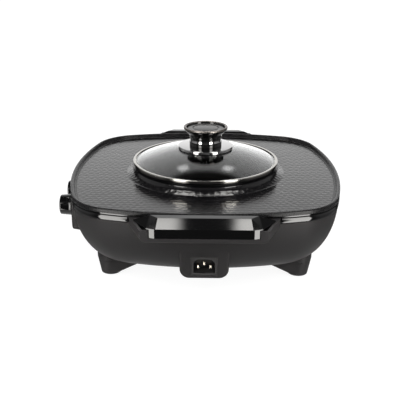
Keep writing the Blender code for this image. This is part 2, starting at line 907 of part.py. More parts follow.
def collar_profile():
    """From the griddle up the collar, over its rim and down to the pot's floor: (radius, height) points."""
    fillet_centre = (collar_radius + collar_fillet, griddle_z + collar_fillet)
    outside = arc(fillet_centre, collar_fillet, 270, 180, fillet_steps)
    top = [
        (collar_radius, collar_top_z - rim_bevel),
        (collar_radius - rim_bevel, collar_top_z),
        (collar_inner_radius, collar_top_z),
    ]
    wall_foot = collar_inner_radius - pot_taper
    inside = arc((wall_foot - pot_fillet, pot_floor_z + pot_fillet), pot_fillet, 0, -90, fillet_steps)
    return outside + top + inside


def pot_underside_profile():
    """From the griddle's underside down the outside of the pot to its floor."""
    wall_foot = collar_inner_radius - pot_taper + pot_wall
    radius = pot_fillet + pot_wall
    fillet = arc((wall_foot - radius, pot_under_z + radius), radius, -90, 0, fillet_steps)
    return [*fillet, (collar_radius, plate_under_z)]


def add_grill_plate():
    """One casting: shallow square tray, low lip, and the round pot with its raised collar in the middle."""
    floor_inset = lip_width + lip_slope
    rim = [
        (0, plate_rim_z),
        (0, lip_z - rim_bevel),
        (rim_bevel, lip_z),
        (lip_width, lip_z),
        (floor_inset - rim_bevel, griddle_z + rim_bevel),
        (floor_inset + rim_bevel, griddle_z),
    ]
    under = [(plate_seat_width, plate_under_z), (plate_seat_width, plate_rim_z)]
    rings = [round_ring(radius, z) for radius, z in pot_underside_profile()]
    rings += [plan_ring(inset, z) for inset, z in under + rim]
    rings += [round_ring(radius, z) for radius, z in collar_profile()]
    casting = loft("grill_plate", rings, "coated_aluminium")
    low = plate_boss_bottom_z()
    hole_top = low + screw_hole_depth + fit_gap
    root = griddle_z - plate_thickness / 2
    for number, place in enumerate(post_places()):
        join(casting, rod(f"plate_boss_{number}", (*place, low), (*place, root), plate_boss_radius))
        bore = (*place, low - cut_overrun), (*place, hole_top)
        cut(casting, rod(f"plate_bore_{number}", *bore, screw_radius + fit_gap))


def add_plate_fixings():
    """Heat-proof spacers between the posts and the casting's bosses, and the long screws through them."""
    corners = ("front_left", "front_right", "rear_right", "rear_left")
    for corner, place in zip(corners, post_places()):
        low = post_top_z() + fit_gap
        high = low + spacer_thickness
        bore = screw_radius + fit_gap
        ring = [(bore, high), (post_radius, high), (post_radius, low), (bore, low)]
        turned(f"plate_spacer_{corner}", ring, "ceramic", place, 2 * small_steps, ring=True)
        add_screw(
            f"plate_screw_{corner}",
            place,
            post_shelf_z() - fit_gap,
            plate_boss_bottom_z() + screw_hole_depth,
        )


def foot_top_z():
    return shell_floor_z - foot_seat_drop


def foot_screw_end_z():
    return foot_top_z() + foot_boss_rise - 2 * fit_gap - screw_radius


def add_feet():
    """Tapered feet with a web towards the middle, each with a rubber pad over the head of its screw."""
    corners = ("front_left", "front_right", "rear_right", "rear_left")
    bottom = pad_proud
    top = foot_top_z()
    recess_top = pad_thickness + fit_gap
    head_seat = recess_top + screw_head_height + 2 * fit_gap
    for corner, place in zip(corners, foot_places()):
        rings = [
            foot_ring(place, foot_bottom_radius - foot_edge, 0, foot_bottom_radius - foot_edge, bottom),
            foot_ring(place, foot_bottom_radius, 0, foot_bottom_radius, bottom + foot_edge),
            foot_ring(place, foot_top_radius, foot_web_length, foot_web_radius, top),
        ]
        foot = loft(f"foot_{corner}", rings, "matte_black_plastic")
        recess = rod(
            f"pad_recess_{corner}",
            (*place, bottom - cut_overrun),
            (*place, recess_top),
            pad_radius + fit_gap,
            steps=2 * small_steps,
        )
        head_hole = rod(
            f"foot_head_hole_{corner}",
            (*place, bottom),
            (*place, head_seat + fit_gap),
            screw_head_radius + 2 * fit_gap,
        )
        shank_hole = rod(
            f"foot_shank_hole_{corner}",
            (*place, bottom),
            (*place, top + cut_overrun),
            screw_radius + fit_gap,
        )
        cut(foot, recess, head_hole, shank_hole)
        add_screw(f"foot_screw_{corner}", place, head_seat, foot_screw_end_z())
        pad = [(0, pad_thickness), (pad_radius, pad_thickness), (pad_radius, 0), (0, 0)]
        turned(f"foot_pad_{corner}", pad, "black_rubber", place, 2 * small_steps)


def tube(name, points, radius, finish):
    """A round bar along a line of points, with closed ends."""
    curve = bpy.data.curves.new(name, "CURVE")
    curve.dimensions = "3D"
    curve.bevel_depth = radius
    curve.bevel_resolution = 2
    curve.use_fill_caps = True
    line = curve.splines.new("POLY")
    line.points.add(len(points) - 1)
    for target, point in zip(line.points, points):
        target.co = (*point, 1)
    return place_object(name, curve, finish)


def add_plate_element():
    """Sheathed element under the griddle: it follows the outline, and its ends turn down at the left."""
    z = plate_under_z - fit_gap - element_radius
    path = plan_ring(plate_element_inset, z)[::2]
    run = [point for point in path if point[0] > 0 or abs(point[1]) > plate_element_tail_gap]
    run.sort(key=lambda point: math.atan2(point[1], point[0]))
    x = plate_element_inset - half_plate
    ends = []
    for y in (-plate_element_tail_gap / 2, plate_element_tail_gap / 2):
        low = (x, y, z - element_bend - plate_element_tail)
        bend = (x, y, z - element_bend)
        ease = element_bend * element_ease_share
        turn = (x, y + math.copysign(ease, y), z - ease)
        ends.append([low, bend, turn])
    tube("plate_heater", ends[0] + run + ends[1][::-1], element_radius, "element_sheath")


def add_pot_element():
    """Ring element under the pot's floor, with two ends side by side towards the left."""
    z = pot_under_z - fit_gap - element_radius
    radius = pot_element_ring_radius
    gap_angle = math.degrees(math.asin((pot_element_tail_gap / 2 + element_bend) / radius))
    ring = arc((0, 0), radius, gap_angle - 180, 180 - gap_angle, 2 * small_steps)
    ends = []
    for y in (-pot_element_tail_gap / 2, pot_element_tail_gap / 2):
        ends.append([(-radius - pot_element_tail, y, z), (-radius - element_bend, y, z)])
    path = ends[0] + [(x, y, z) for x, y in ring] + ends[1][::-1]
    tube("pot_heater", path, element_radius, "element_sheath")


def add_heat_shield():
    """Bright tray between the elements and the shell's floor, held on three staked pins."""
    low = shield_bottom_z()
    edge = shield_radius()
    foot = edge - shield_rim_flare
    top = low + shield_rim_height
    profile = [
        (0, low + shield_sheet),
        (foot - shield_sheet, low + shield_sheet),
        (edge - shield_sheet, top),
        (edge, top),
        (foot, low),
        (0, low),
    ]
    shield = turned("heat_shield", profile, "shield_sheet")
    for number, place in enumerate(shield_post_places()):
        hole = rod(
            f"shield_hole_{number}",
            (*place, low - cut_overrun),
            (*place, low + shield_sheet + cut_overrun),
            shield_pin_radius + fit_gap,
        )
        cut(shield, hole)


def add_thermal_fuse():
    z = shield_bottom_z() + shield_sheet + fit_gap + fuse_radius
    y = -fuse_reach_share * shield_radius()
    start = (-fuse_length / 2, y, z)
    end = (fuse_length / 2, y, z)
    rod("thermal_fuse", start, end, fuse_radius, "ceramic")


def terminal_box():
    """Low and high corners of the terminal block, between the shield and the front wall."""
    near = shield_radius() + terminal_wall_gap
    low_z = shell_floor_top_z + terminal_post_rise + fit_gap
    low = (-terminal_length / 2, -near - terminal_depth, low_z)
    high = (terminal_length / 2, -near, low_z + terminal_height)
    return low, high


def add_terminal_block():
    low, high = terminal_box()
    strip = block("terminal_block", low, high, "ceramic")
    pitch = terminal_length / terminal_ways
    z = (low[2] + high[2]) / 2
    for number in range(terminal_ways):
        x = low[0] + (number + 0.5) * pitch
        start = (x, low[1] - cut_overrun, z)
        end = (x, high[1] + cut_overrun, z)
        cut(strip, rod(f"terminal_hole_{number}", start, end, terminal_hole_radius))


def add_controls():
    """For each knob: a thermostat behind the wall, its spindle through a bush, and the knob outside."""
    face = control_face_x()
    inner_face = face + shell_wall
    body_face = inner_face + fit_gap
    bore_end = body_face + thermostat_bore
    for name, y, z in knob_places():
        low = (body_face, y - thermostat_length / 2, z - thermostat_height / 2)
        high = (body_face + thermostat_depth, y + thermostat_length / 2, z + thermostat_height / 2)
        thermostat = block(f"thermostat_{name}", low, high, "ceramic")
        inside = (body_face + thermostat_depth / 2, y, z)
        join(thermostat, rod(f"bush_{name}", (face, y, z), inside, bush_radius, steps=2 * small_steps))
        mouth = (face - cut_overrun, y, z)
        radius = spindle_radius + fit_gap
        cut(thermostat, rod(f"bush_bore_{name}", mouth, (bore_end, y, z), radius, steps=2 * small_steps))
        add_control_knob(name, y, z)
        add_spindle(name, y, z, bore_end - fit_gap)
    for name, y, z in lens_places():
        add_lens(name, y, z)


def add_control_knob(name, y, z):
    """Round knob on a flared base, with an eased outer edge and a pointer rib; local +Z points out."""
    grip = knob_radius * knob_grip_share
    top = knob_length - pointer_height
    edge = arc((grip - knob_edge, top - knob_edge), knob_edge, 90, 0, fillet_steps)
    base = [(grip, knob_skirt_length), (knob_radius, knob_skirt_length / 2), (knob_radius, 0), (0, 0)]
    knob = turned(f"control_knob_{name}", [(0, top), *edge, *base], "gloss_black_plastic")
    out = -knob_wall_x()
    knob.location = (-out, y, z)
    knob.rotation_euler = (0, -math.pi / 2, 0)
    face = -out - knob_length
    rib_low = (face, y - pointer_width / 2, z)
    rib_high = (face + 2 * pointer_height, y + pointer_width / 2, z + grip - knob_edge)
    join(knob, block(f"pointer_{name}", rib_low, rib_high))
    bore_start = (-out + cut_overrun, y, z)
    bore_end = (-out - knob_bore_depth, y, z)
    cut(knob, rod(f"knob_bore_{name}", bore_start, bore_end, spindle_radius + fit_gap))


def knob_wall_x():
    """Where the knob's back lies, just outside the control box's face."""
    return control_face_x() - knob_standoff


def add_spindle(name, y, z, inner_x):
    """Steel spindle with a flat, from the thermostat's bore to the end of the knob's bore."""
    tip_x = knob_wall_x() - knob_bore_depth + fit_gap
    spindle = rod(f"spindle_{name}", (tip_x, y, z), (inner_x, y, z), spindle_radius, "plain_steel")
    low = (tip_x - cut_overrun, y - spindle_radius - cut_overrun, z + spindle_radius - spindle_flat)
    high = (knob_wall_x(), y + spindle_radius + cut_overrun, z + spindle_radius + cut_overrun)
    cut(spindle, block(f"spindle_flat_{name}", low, high))


def add_lens(name, y, z):
    """Pilot lamp lens: a small rod through the wall with a rim outside."""
    face = control_face_x() - fit_gap
    rim_face = face - lens_rim_height
    lens = rod(f"pilot_lens_{name}", (rim_face, y, z), (face, y, z), lens_radius + lens_rim, "lens_red")
    stem_start = (rim_face + lens_rim_height / 2, y, z)
    join(lens, rod(f"lens_stem_{name}", stem_start, (face + lens_length, y, z), lens_radius))


def inlet_centre_z():
    return shell_floor_z + inlet_box_lift + inlet_centre_rise


def inlet_body_half_sizes():
    half_width = inlet_opening_width / 2 + inlet_body_wall
    half_height = inlet_opening_height / 2 + inlet_body_wall
    return half_width, half_height


def inlet_face_reach():
    """The flange's front face lies a little proud of the inlet box."""
    return half_plate - inlet_box_inset + fit_gap


def opening_outline():
    """The socket's opening: a rectangle whose two upper corners are cut off."""
    half_width = inlet_opening_width / 2
    half_height = inlet_opening_height / 2
    chamfer = inlet_opening_chamfer
    return [
        (-half_width, -half_height),
        (half_width, -half_height),
        (half_width, half_height - chamfer),
        (half_width - chamfer, half_height),
        (chamfer - half_width, half_height),
        (-half_width, half_height - chamfer),
    ]


def add_inlet():
    """Appliance inlet: a flange, a body behind it, the shaped recess and three flat pins."""
    z = inlet_centre_z()
    face = inlet_face_reach()
    flange_back = face - inlet_flange_thickness
    body_half, body_rise = inlet_body_half_sizes()
    recess_floor = face - inlet_recess_depth
    back = recess_floor - inlet_back_wall
    low = (-inlet_flange_width / 2, -face, z - inlet_flange_height / 2)
    high = (inlet_flange_width / 2, -flange_back, z + inlet_flange_height / 2)
    socket = block("inlet_socket", low, high, "matte_black_plastic")
    middle = (face + flange_back) / 2
    body_low = (-body_half, -middle, z - body_rise)
    body_high = (body_half, -back, z + body_rise)
    join(socket, block("inlet_body", body_low, body_high))
    recess = []
    for reach in (face + cut_overrun, recess_floor):
        recess.append([(across, -reach, z + up) for across, up in opening_outline()])
    cut(socket, loft("inlet_recess", recess))
    pins = (
        ("live", -pin_spacing / 2, z - earth_pin_rise / 2),
        ("neutral", pin_spacing / 2, z - earth_pin_rise / 2),
        ("earth", 0, z + earth_pin_rise / 2),
    )
    tip = face - pin_recess
    tail = back - pin_tab_length
    for name, x, pin_z in pins:
        low = (x - pin_width / 2, -tip, pin_z - pin_height / 2)
        high = (x + pin_width / 2, -tail, pin_z + pin_height / 2)
        block(f"inlet_pin_{name}", low, high, "brass")
        slot_low = (low[0] - fit_gap, -recess_floor - cut_overrun, low[2] - fit_gap)
        slot_high = (high[0] + fit_gap, -back + cut_overrun, high[2] + fit_gap)
        cut(socket, block(f"pin_slot_{name}", slot_low, slot_high))


def pot_inner_radius(z):
    """Radius of the pot's tapered wall inside, at a height above its floor fillet."""
    taper_share = (collar_top_z - z) / (collar_top_z - pot_floor_z - pot_fillet)
    return collar_inner_radius - pot_taper * taper_share


def lid_bottom_z():
    return collar_top_z + fit_gap


def glass_edge_z():
    """Underside of the glass's flat rim, inside the steel band."""
    return lid_bottom_z() + lid_sheet + fit_gap


def glass_radius():
    return lid_rim_radius - lid_sheet - fit_gap


def glass_top_z(radius):
    """Top of the glass at a radius: part of a sphere that starts at the flat rim."""
    base = glass_radius() - glass_flat_rim
    sphere = (base**2 + glass_dome_rise**2) / (2 * glass_dome_rise)
    reach = min(base, max(radius, glass_flat_top_radius))
    edge_top = glass_edge_z() + glass_thickness
    return edge_top + math.sqrt(sphere**2 - reach**2) - math.sqrt(sphere**2 - base**2)


def lid_bore():
    return lid_screw_radius + fit_gap


def add_lid_rim():
    """Steel band of one folded strip: it grips the glass's edge and hangs a short skirt inside the collar."""
    low = lid_bottom_z()
    high = glass_edge_z() + glass_thickness + fit_gap + lid_sheet
    grip = lid_rim_radius - lid_grip_width
    skirt = pot_inner_radius(low - lid_skirt_depth) - lid_skirt_clearance
    section = [
        (grip, high),
        (lid_rim_radius, high),
        (lid_rim_radius, low),
        (skirt, low),
        (skirt, low - lid_skirt_depth),
        (skirt - lid_sheet, low - lid_skirt_depth),
        (skirt - lid_sheet, low + lid_sheet),
        (lid_rim_radius - lid_sheet, low + lid_sheet),
        (lid_rim_radius - lid_sheet, high - lid_sheet),
        (grip, high - lid_sheet),
    ]
    turned("lid_rim", section, "polished_steel", ring=True)


def add_lid_glass():
    """Domed glass with a flat rim, a flat middle and a hole for the knob's screw."""
    base = glass_radius() - glass_flat_rim
    shares = [step / glass_steps for step in range(glass_steps + 1)]
    radii = [glass_flat_top_radius + share * (base - glass_flat_top_radius) for share in shares]
    top = [(lid_bore(), glass_top_z(0)), *((radius, glass_top_z(radius)) for radius in radii)]
    rim = [(glass_radius(), glass_top_z(base)), (glass_radius(), glass_edge_z())]
    under = [(radius, height - glass_thickness) for radius, height in reversed(top)]
    turned("lid_glass", top + rim + under, "clear_glass", ring=True)


def disc_under_z():
    """Underside of the disc: it clears the gasket on the middle of the glass."""
    return glass_top_z(0) + gasket_thickness + 2 * fit_gap


def add_lid_disc():
    """Polished disc between the glass and the knob, with a turned-down edge that meets the dome."""
    under = disc_under_z()
    top = under + disc_sheet
    edge_low = glass_top_z(disc_radius - disc_sheet) + fit_gap
    section = [
        (lid_bore(), top),
        (disc_radius - disc_edge, top),
        (disc_radius, top - disc_edge),
        (disc_radius, edge_low),
        (disc_radius - disc_sheet, edge_low),
        (disc_radius - disc_sheet, under),
        (lid_bore(), under),
    ]
    turned("lid_disc", section, "polished_steel", ring=True)


def grip_bottom_z():
    return disc_under_z() + disc_sheet + fit_gap


def add_lid_knob():
    """Spool-shaped knob: base flange, narrow waist, tapered neck and a rolled ring round a recessed top."""
    low = grip_bottom_z()
    recess_radius = grip_recess_share * grip_ring_radius
    ring_middle = (grip_ring_radius + recess_radius) / 2
    neck_step = grip_neck_radius - grip_waist_radius
    flare = grip_ring_radius - grip_neck_radius
    radii = (
        grip_base_radius,
        grip_base_radius,
        grip_base_radius - rim_bevel,
        grip_waist_radius,
        grip_waist_radius,
        grip_waist_radius + grip_shoulder_share * neck_step,
        grip_neck_radius,
        grip_neck_radius + grip_flare_shares[0] * flare,
        grip_neck_radius + grip_flare_shares[1] * flare,
        grip_ring_radius - rim_bevel,
        grip_ring_radius,
        grip_ring_radius - 2 * rim_bevel,
        ring_middle + rim_bevel,
        ring_middle - rim_bevel,
    )
    outside = [(radius, low + share * grip_height) for radius, share in zip(radii, grip_height_shares)]
    outside.reverse()
    recess_z = low + grip_height - grip_recess_depth
    recess_edge_z = recess_z + cap_thickness + fit_gap
    top = [(0, recess_z), (recess_radius, recess_z), (recess_radius, recess_edge_z)]
    bore_top = low + grip_bore_depth
    bottom = [(grip_base_radius - rim_bevel, low), (lid_bore(), low), (lid_bore(), bore_top), (0, bore_top)]
    turned("lid_knob", top + outside + bottom, "gloss_black_plastic")
    add_lid_knob_cap(recess_radius - fit_gap, recess_z + fit_gap)


def add_lid_knob_cap(radius, low):
    """Flat disc in the knob's recess, with an eased edge and one ring groove in its top."""
    high = low + cap_thickness
    groove = cap_groove_share * radius
    groove_floor = high - cap_groove_depth
    groove_ends = (groove - cap_groove_width / 2, groove + cap_groove_width / 2)
    inner_wall = [(groove_ends[0], high), (groove_ends[0], groove_floor)]
    outer_wall = [(groove_ends[1], groove_floor), (groove_ends[1], high)]
    side = [(radius - cap_edge, high), (radius, high - cap_edge), (radius, low)]
    turned("lid_knob_cap", [(0, high), *inner_wall, *outer_wall, *side, (0, low)], "satin_grey_cap")


def add_lid_fixings():
    """Gasket over the glass, washer under it, and the screw up through both into the knob."""
    gasket_low = glass_top_z(0) + fit_gap
    add_flat_ring("lid_gasket", gasket_radius, gasket_low, gasket_thickness, "white_silicone")
    washer_low = glass_top_z(0) - glass_thickness - fit_gap - washer_thickness
    add_flat_ring("lid_washer", washer_radius, washer_low, washer_thickness, "plain_steel")
    head_top = washer_low - fit_gap
    head_low = head_top - lid_screw_head_height
    tip = grip_bottom_z() + grip_bore_depth - fit_gap
    profile = [
        (0, tip),
        (lid_screw_radius, tip),
        (lid_screw_radius, head_top),
        (lid_screw_head_radius, head_top),
        (lid_screw_head_radius, head_top - lid_screw_head_height / 2),
        (lid_screw_head_radius * lid_screw_crown_share, head_low),
        (0, head_low),
    ]
    turned("lid_screw", profile, "plain_steel", steps=2 * small_steps)


def add_flat_ring(name, radius, low, thickness, finish):
    high = low + thickness
    section = [(lid_bore(), high), (radius, high), (radius, low), (lid_bore(), low)]
    turned(name, section, finish, steps=2 * small_steps, ring=True)


def centre_shift():
    """Sideways place of the pot's axis that centres the box, from the knobs' faces to the right-hand edge."""
    left_reach = -knob_wall_x() + knob_length
    return (left_reach - half_plate) / 2


clear_scene()
part_collection = new_collection("hot_pot_grill")
cutter_collection = new_collection("cutters")
pot_axis = bpy.data.objects.new("pot_axis", None)
part_collection.objects.link(pot_axis)
pot_axis.location = (centre_shift(), 0, 0)

add_lower_shell()
add_upper_frame()
add_grill_plate()
add_plate_fixings()
add_plate_element()
add_pot_element()
add_heat_shield()
add_thermal_fuse()
add_terminal_block()
add_handle(front, "front_handle")
add_handle(rear, "rear_handle")
add_inlet()
add_controls()
add_feet()
add_lid_rim()
add_lid_glass()
add_lid_disc()
add_lid_knob()
add_lid_fixings()
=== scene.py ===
"""Looks of the hot pot grill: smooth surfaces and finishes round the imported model, its camera and studio.

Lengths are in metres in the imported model's frame. The pot's upright axis stands at x = pot_x.
"""

import json

import bmesh
import bpy
import numpy as np
from mathutils import Matrix, Vector

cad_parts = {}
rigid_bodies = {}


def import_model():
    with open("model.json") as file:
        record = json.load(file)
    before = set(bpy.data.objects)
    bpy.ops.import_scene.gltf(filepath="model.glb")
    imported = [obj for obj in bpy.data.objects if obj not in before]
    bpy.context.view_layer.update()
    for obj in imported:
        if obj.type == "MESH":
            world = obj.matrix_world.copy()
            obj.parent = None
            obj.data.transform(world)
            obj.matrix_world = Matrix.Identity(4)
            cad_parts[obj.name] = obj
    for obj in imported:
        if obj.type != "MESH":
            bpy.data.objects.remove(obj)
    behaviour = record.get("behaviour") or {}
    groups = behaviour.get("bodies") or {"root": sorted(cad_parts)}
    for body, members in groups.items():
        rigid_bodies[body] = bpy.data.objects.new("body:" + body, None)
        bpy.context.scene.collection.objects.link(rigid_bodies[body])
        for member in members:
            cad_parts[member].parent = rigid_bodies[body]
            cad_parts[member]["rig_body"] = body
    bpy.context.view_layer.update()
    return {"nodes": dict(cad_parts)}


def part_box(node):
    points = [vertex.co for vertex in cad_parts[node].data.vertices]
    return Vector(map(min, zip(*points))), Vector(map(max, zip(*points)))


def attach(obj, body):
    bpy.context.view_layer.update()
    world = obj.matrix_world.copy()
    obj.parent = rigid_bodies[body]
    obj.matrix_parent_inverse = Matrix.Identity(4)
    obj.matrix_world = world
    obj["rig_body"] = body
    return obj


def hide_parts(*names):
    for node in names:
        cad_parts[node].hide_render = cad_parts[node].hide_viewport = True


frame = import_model()

front, rear = -1, 1
left, right = -1, 1
corner_signs = {
    "front_left": (left, front),
    "front_right": (right, front),
    "rear_right": (right, rear),
    "rear_left": (left, rear),
}

# Levels and reaches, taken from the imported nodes
plate_low, plate_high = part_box("grill_plate")
rim_low, rim_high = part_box("lid_rim")
cap_low, cap_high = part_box("lid_knob_cap")
disc_low, disc_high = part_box("lid_disc")
grip_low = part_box("lid_knob")[0]
pot_x = (plate_low.x + plate_high.x) / 2
half_plate = (plate_high.x - plate_low.x) / 2

# Griddle outline, and sizes of the casting
side_bow = 0.4285
corner_radius = 0.0608
lip_top = 0.104
lip_width = 0.0036
lip_foot = 0.0054
deck_edge = 0.0075
rim_foot = 0.0988
rim_wrap = 0.0082
griddle_z = 0.099
plate_under = 0.0955
collar_top = 0.1105
collar_radius = 0.092
collar_inner = 0.0884
pot_floor = 0.044
pot_taper = 0.0085
pot_floor_wall = 0.0032
pot_side_wall = 0.0026
skirt_length = 0.0142
deck_relief = 0.00002
groove_depth = 0.00007
groove_width = 0.0008
groove_count = 36

# Hammering: pitch of the honeycomb, directions and strengths of its waves, where and how sharply it is
# limited, and the slow bends as (length, start, reach)
hammer_pitch = 0.008
hammer_wave = 2 * np.pi / (hammer_pitch * np.sqrt(3) / 2)
hammer_headings = np.radians((90, 30, 150))
hammer_strengths = (1.15, 1, 1)
hammer_offset = 0.6
hammer_limit = 0.9
hammer_sways = (((0.031, 1.3, 0.0009), (0.043, 0.0, 0.0006)), ((0.027, 0.4, 0.0009), (0.037, 0.0, 0.0005)))

# Lower shell and handles
shell_top = 0.0902
shell_floor = 0.020
shell_edge = 0.0007
shell_draft = 0.002
shell_tuck = 0.0443
tuck_power = 1.8
moulding_wall = 0.0025
handle_reach = 0.199
handle_seat = 0.0965
bracket_drop = 0.0145
screw_head = 0.0044
cut_overrun = 0.002

# Lid glass: its edge and thickness, where its dome starts and how far that rises, and its bore
glass_edge = 0.0927
glass_edge_z = 0.1147
glass_wall = 0.003
dome_radius = 0.0894
dome_rise = 0.0183
lid_bore = 0.0028

# Distance of the studio's cards, far enough that they look alike from every part of the object
card_reach = 25.0


# Meshes from arrays


def smoothstep(low, high, value):
    """0 below low, 1 above high, and an S curve between them."""
    share = np.clip((value - low) / (high - low), 0, 1)
    return share * share * (3 - 2 * share)


def full_turn(count):
    """Angles of even steps round a whole turn, from 0."""
    return np.linspace(0, 2 * np.pi, count, endpoint=False)


def signed_volume(points, faces):
    """Six times the volume inside the faces, negative where they point inwards."""
    first, second, third = (points[faces[:, corner]] for corner in range(3))
    return np.einsum("ij,ij->", first, np.cross(second, third))


def put_in_scene(name, data):
    """A new object in the scene, for a mesh, a lamp or a camera."""
    thing = bpy.data.objects.new(name, data)
    bpy.context.scene.collection.objects.link(thing)
    return thing


def put_mesh(name, points, faces, *materials):
    """A mesh of points and faces, with its materials, as an object in the scene."""
    mesh = bpy.data.meshes.new(name)
    mesh.from_pydata(np.asarray(points).tolist(), [], faces)
    for material in materials:
        mesh.materials.append(material)
    return put_in_scene(name, mesh)


def shade(mesh, crease=35):
    """Shade a mesh smooth, apart from edges that turn by more than an angle in degrees."""
    mesh.shade_smooth()
    mesh.set_sharp_from_angle(angle=np.radians(crease))


def add_piece(name, points, quads, triangles, finish, body, stands_for=(), crease=35):
    """Put arrays of points and faces into a mesh, its faces outwards, and let it ride on a body."""
    split = np.vstack([quads[:, [0, 1, 2]], quads[:, [0, 2, 3]], triangles])
    if signed_volume(points, split) < 0:
        quads = quads[:, ::-1]
        triangles = triangles[:, ::-1]
    piece = put_mesh(name, points, quads.tolist() + triangles.tolist(), finishes[finish])
    shade(piece.data, crease)
    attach(piece, body)
    if stands_for:
        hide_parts(*stands_for)
    return piece


def skin(name, rings, finish, body, stands_for=(), joined=False, crease=35):
    """Skin rings of points, an array of rows, columns and xyz: each ring closes on itself, and its rows
    either join up end to end too, or each end ring closes on its own middle point."""
    rows, columns = rings.shape[:2]
    points = rings.reshape(-1, 3)
    row = np.arange(rows if joined else rows - 1)[:, None]
    column = np.arange(columns)
    following = (column + 1) % columns
    low = row * columns
    high = (row + 1) % rows * columns
    corners = [low + column, low + following, high + following, high + column]
    quads = np.stack(corners, -1).reshape(-1, 4)
    triangles = np.zeros((0, 3), int)
    if not joined:
        middles = np.stack([rings[0].mean(0), rings[-1].mean(0)])
        count = len(points)
        points = np.vstack([points, middles])
        start = np.stack([np.full(columns, count), following, column], -1)
        last = (rows - 1) * columns
        end = np.stack([np.full(columns, count + 1), last + column, last + following], -1)
        triangles = np.vstack([start, end])
    return add_piece(name, points, quads, triangles, finish, body, stands_for, crease)


def rounded_path(corners, radius, steps=5, closed=False):
    """A line of (u, v) corners with each corner turned into the arc of a circle that touches both of its
    runs, a radius, or less than half a run, away from the corner. A corner may give its own radius as a
    third number."""
    corners = [tuple(corner) if len(corner) == 3 else (*corner, radius) for corner in corners]
    count = len(corners)
    share = np.linspace(0, 1, steps + 1)[:, None]
    path = []
    for number, (u, v, reach) in enumerate(corners):
        here = np.array([u, v])
        if not closed and number in (0, count - 1) or reach == 0:
            path.append(here[None])
            continue
        before = np.array(corners[number - 1][:2]) - here
        after = np.array(corners[(number + 1) % count][:2]) - here
        reach = min(reach, np.linalg.norm(before) * 0.49, np.linalg.norm(after) * 0.49)
        start = before / np.linalg.norm(before) * reach
        end = after / np.linalg.norm(after) * reach
        middle = (start + end) / max(1 + start @ end / reach**2, 1e-9)
        turn = np.pi - np.arccos(np.clip(start @ end / reach**2, -1, 1))
        spokes = np.sin((1 - share) * turn) * (start - middle) + np.sin(share * turn) * (end - middle)
        path.append(here + middle + spokes / np.sin(turn))
    return np.vstack(path)


def lathe(name, profile, finish, body, stands_for=(), columns=192, joined=False, crease=35):
    """Turn a profile of (radius, height) points about the pot's axis; a radius of 0 closes on it."""
    profile = np.asarray(profile)
    angle = full_turn(columns)
    radius = np.maximum(profile[:, :1], 1e-5)
    x = pot_x + radius * np.cos(angle)
    y = radius * np.sin(angle)
    z = np.broadcast_to(profile[:, 1:], x.shape)
    return skin(name, np.stack([x, y, z], -1), finish, body, stands_for, joined, crease)


def outline_reach(angle):
    """Distance from the pot's axis to the griddle's outline along each angle: where the ray meets the
    shallow arc of the nearest side, or, past the point where the two arcs touch, the tight arc of the
    nearest corner."""
    turn = np.abs((angle + np.pi / 4) % (np.pi / 2) - np.pi / 4)
    bow_centre = half_plate - side_bow
    side = bow_centre * np.cos(turn) + np.sqrt(side_bow**2 - (bow_centre * np.sin(turn)) ** 2)
    gap = side_bow - corner_radius
    centre = (bow_centre + np.sqrt(2 * gap**2 - bow_centre**2)) / 2
    heading = np.arctan2(centre, centre - bow_centre)
    touch_x = centre + corner_radius * np.cos(heading)
    touch_y = centre + corner_radius * np.sin(heading)
    along = np.hypot(centre, centre) * np.cos(turn - np.pi / 4)
    across = np.hypot(centre, centre) * np.sin(turn - np.pi / 4)
    corner = along + np.sqrt(np.maximum(corner_radius**2 - across**2, 0))
    return np.where(turn < np.arctan2(touch_y, touch_x), side, corner)


def plan_rings(insets, heights, columns=480):
    """Rings of the griddle's outline at their heights, drawn in by a share of the half width each."""
    angle = full_turn(columns)
    share = 1 - np.asarray(insets)[:, None] / half_plate
    reach = outline_reach(angle) * share
    z = np.broadcast_to(np.asarray(heights)[:, None], reach.shape)
    return np.stack([pot_x + reach * np.cos(angle), reach * np.sin(angle), z], -1)


def softened(node, finish, width):
    """A copy of a node's shape with merged corners, joined flat faces and rounded edges."""
    same_point = 1e-6
    mesh = frame["nodes"][node].data.copy()
    mesh.name = f"{node}_eased"
    shape = bmesh.new()
    shape.from_mesh(mesh)
    bmesh.ops.remove_doubles(shape, verts=shape.verts, dist=same_point)
    bmesh.ops.dissolve_limit(shape, angle_limit=np.radians(1), verts=shape.verts, edges=shape.edges)
    shape.to_mesh(mesh)
    shape.free()
    mesh.materials.clear()
    mesh.materials.append(finishes[finish])
    shade(mesh)
    piece = put_in_scene(f"{node}_eased", mesh)
    ease_edges(piece, width, 3)
    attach(piece, frame["nodes"][node]["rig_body"])
    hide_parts(node)


def cutter(rings):
    """A closed skin used only to cut: rings of points, with one flat face over each end."""
    rows, columns = rings.shape[:2]
    row, column = np.meshgrid(np.arange(rows - 1), np.arange(columns), indexing="ij")
    following = (column + 1) % columns
    quads = np.stack([row * columns + column, row * columns + following], -1)
    quads = np.concatenate([quads, quads[..., ::-1] + columns], -1).reshape(-1, 4)
    ends = [list(range(columns))[::-1], list(range((rows - 1) * columns, rows * columns))]
    points = rings.reshape(-1, 3)
    split = np.vstack([quads[:, [0, 1, 2]], quads[:, [0, 2, 3]]])
    if signed_volume(points - points.mean(0), split) < 0:
        quads = quads[:, ::-1]
        ends = [end[::-1] for end in ends]
    return put_mesh("cutter", points, quads.tolist() + ends)


def round_cutter(centre, axis, low, high, radius, columns=48):
    """A round cutter about a line through the centre, along x, y or z (axis 0, 1 or 2), between two
    places on that line."""
    angle = full_turn(columns)
    rings = np.zeros((2, columns, 3)) + np.asarray(centre, float)
    across, up = [number for number in range(3) if number != axis]
    rings[..., across] += radius * np.cos(angle)
    rings[..., up] += radius * np.sin(angle)
    rings[..., axis] = np.array([[low], [high]])
    return cutter(rings)


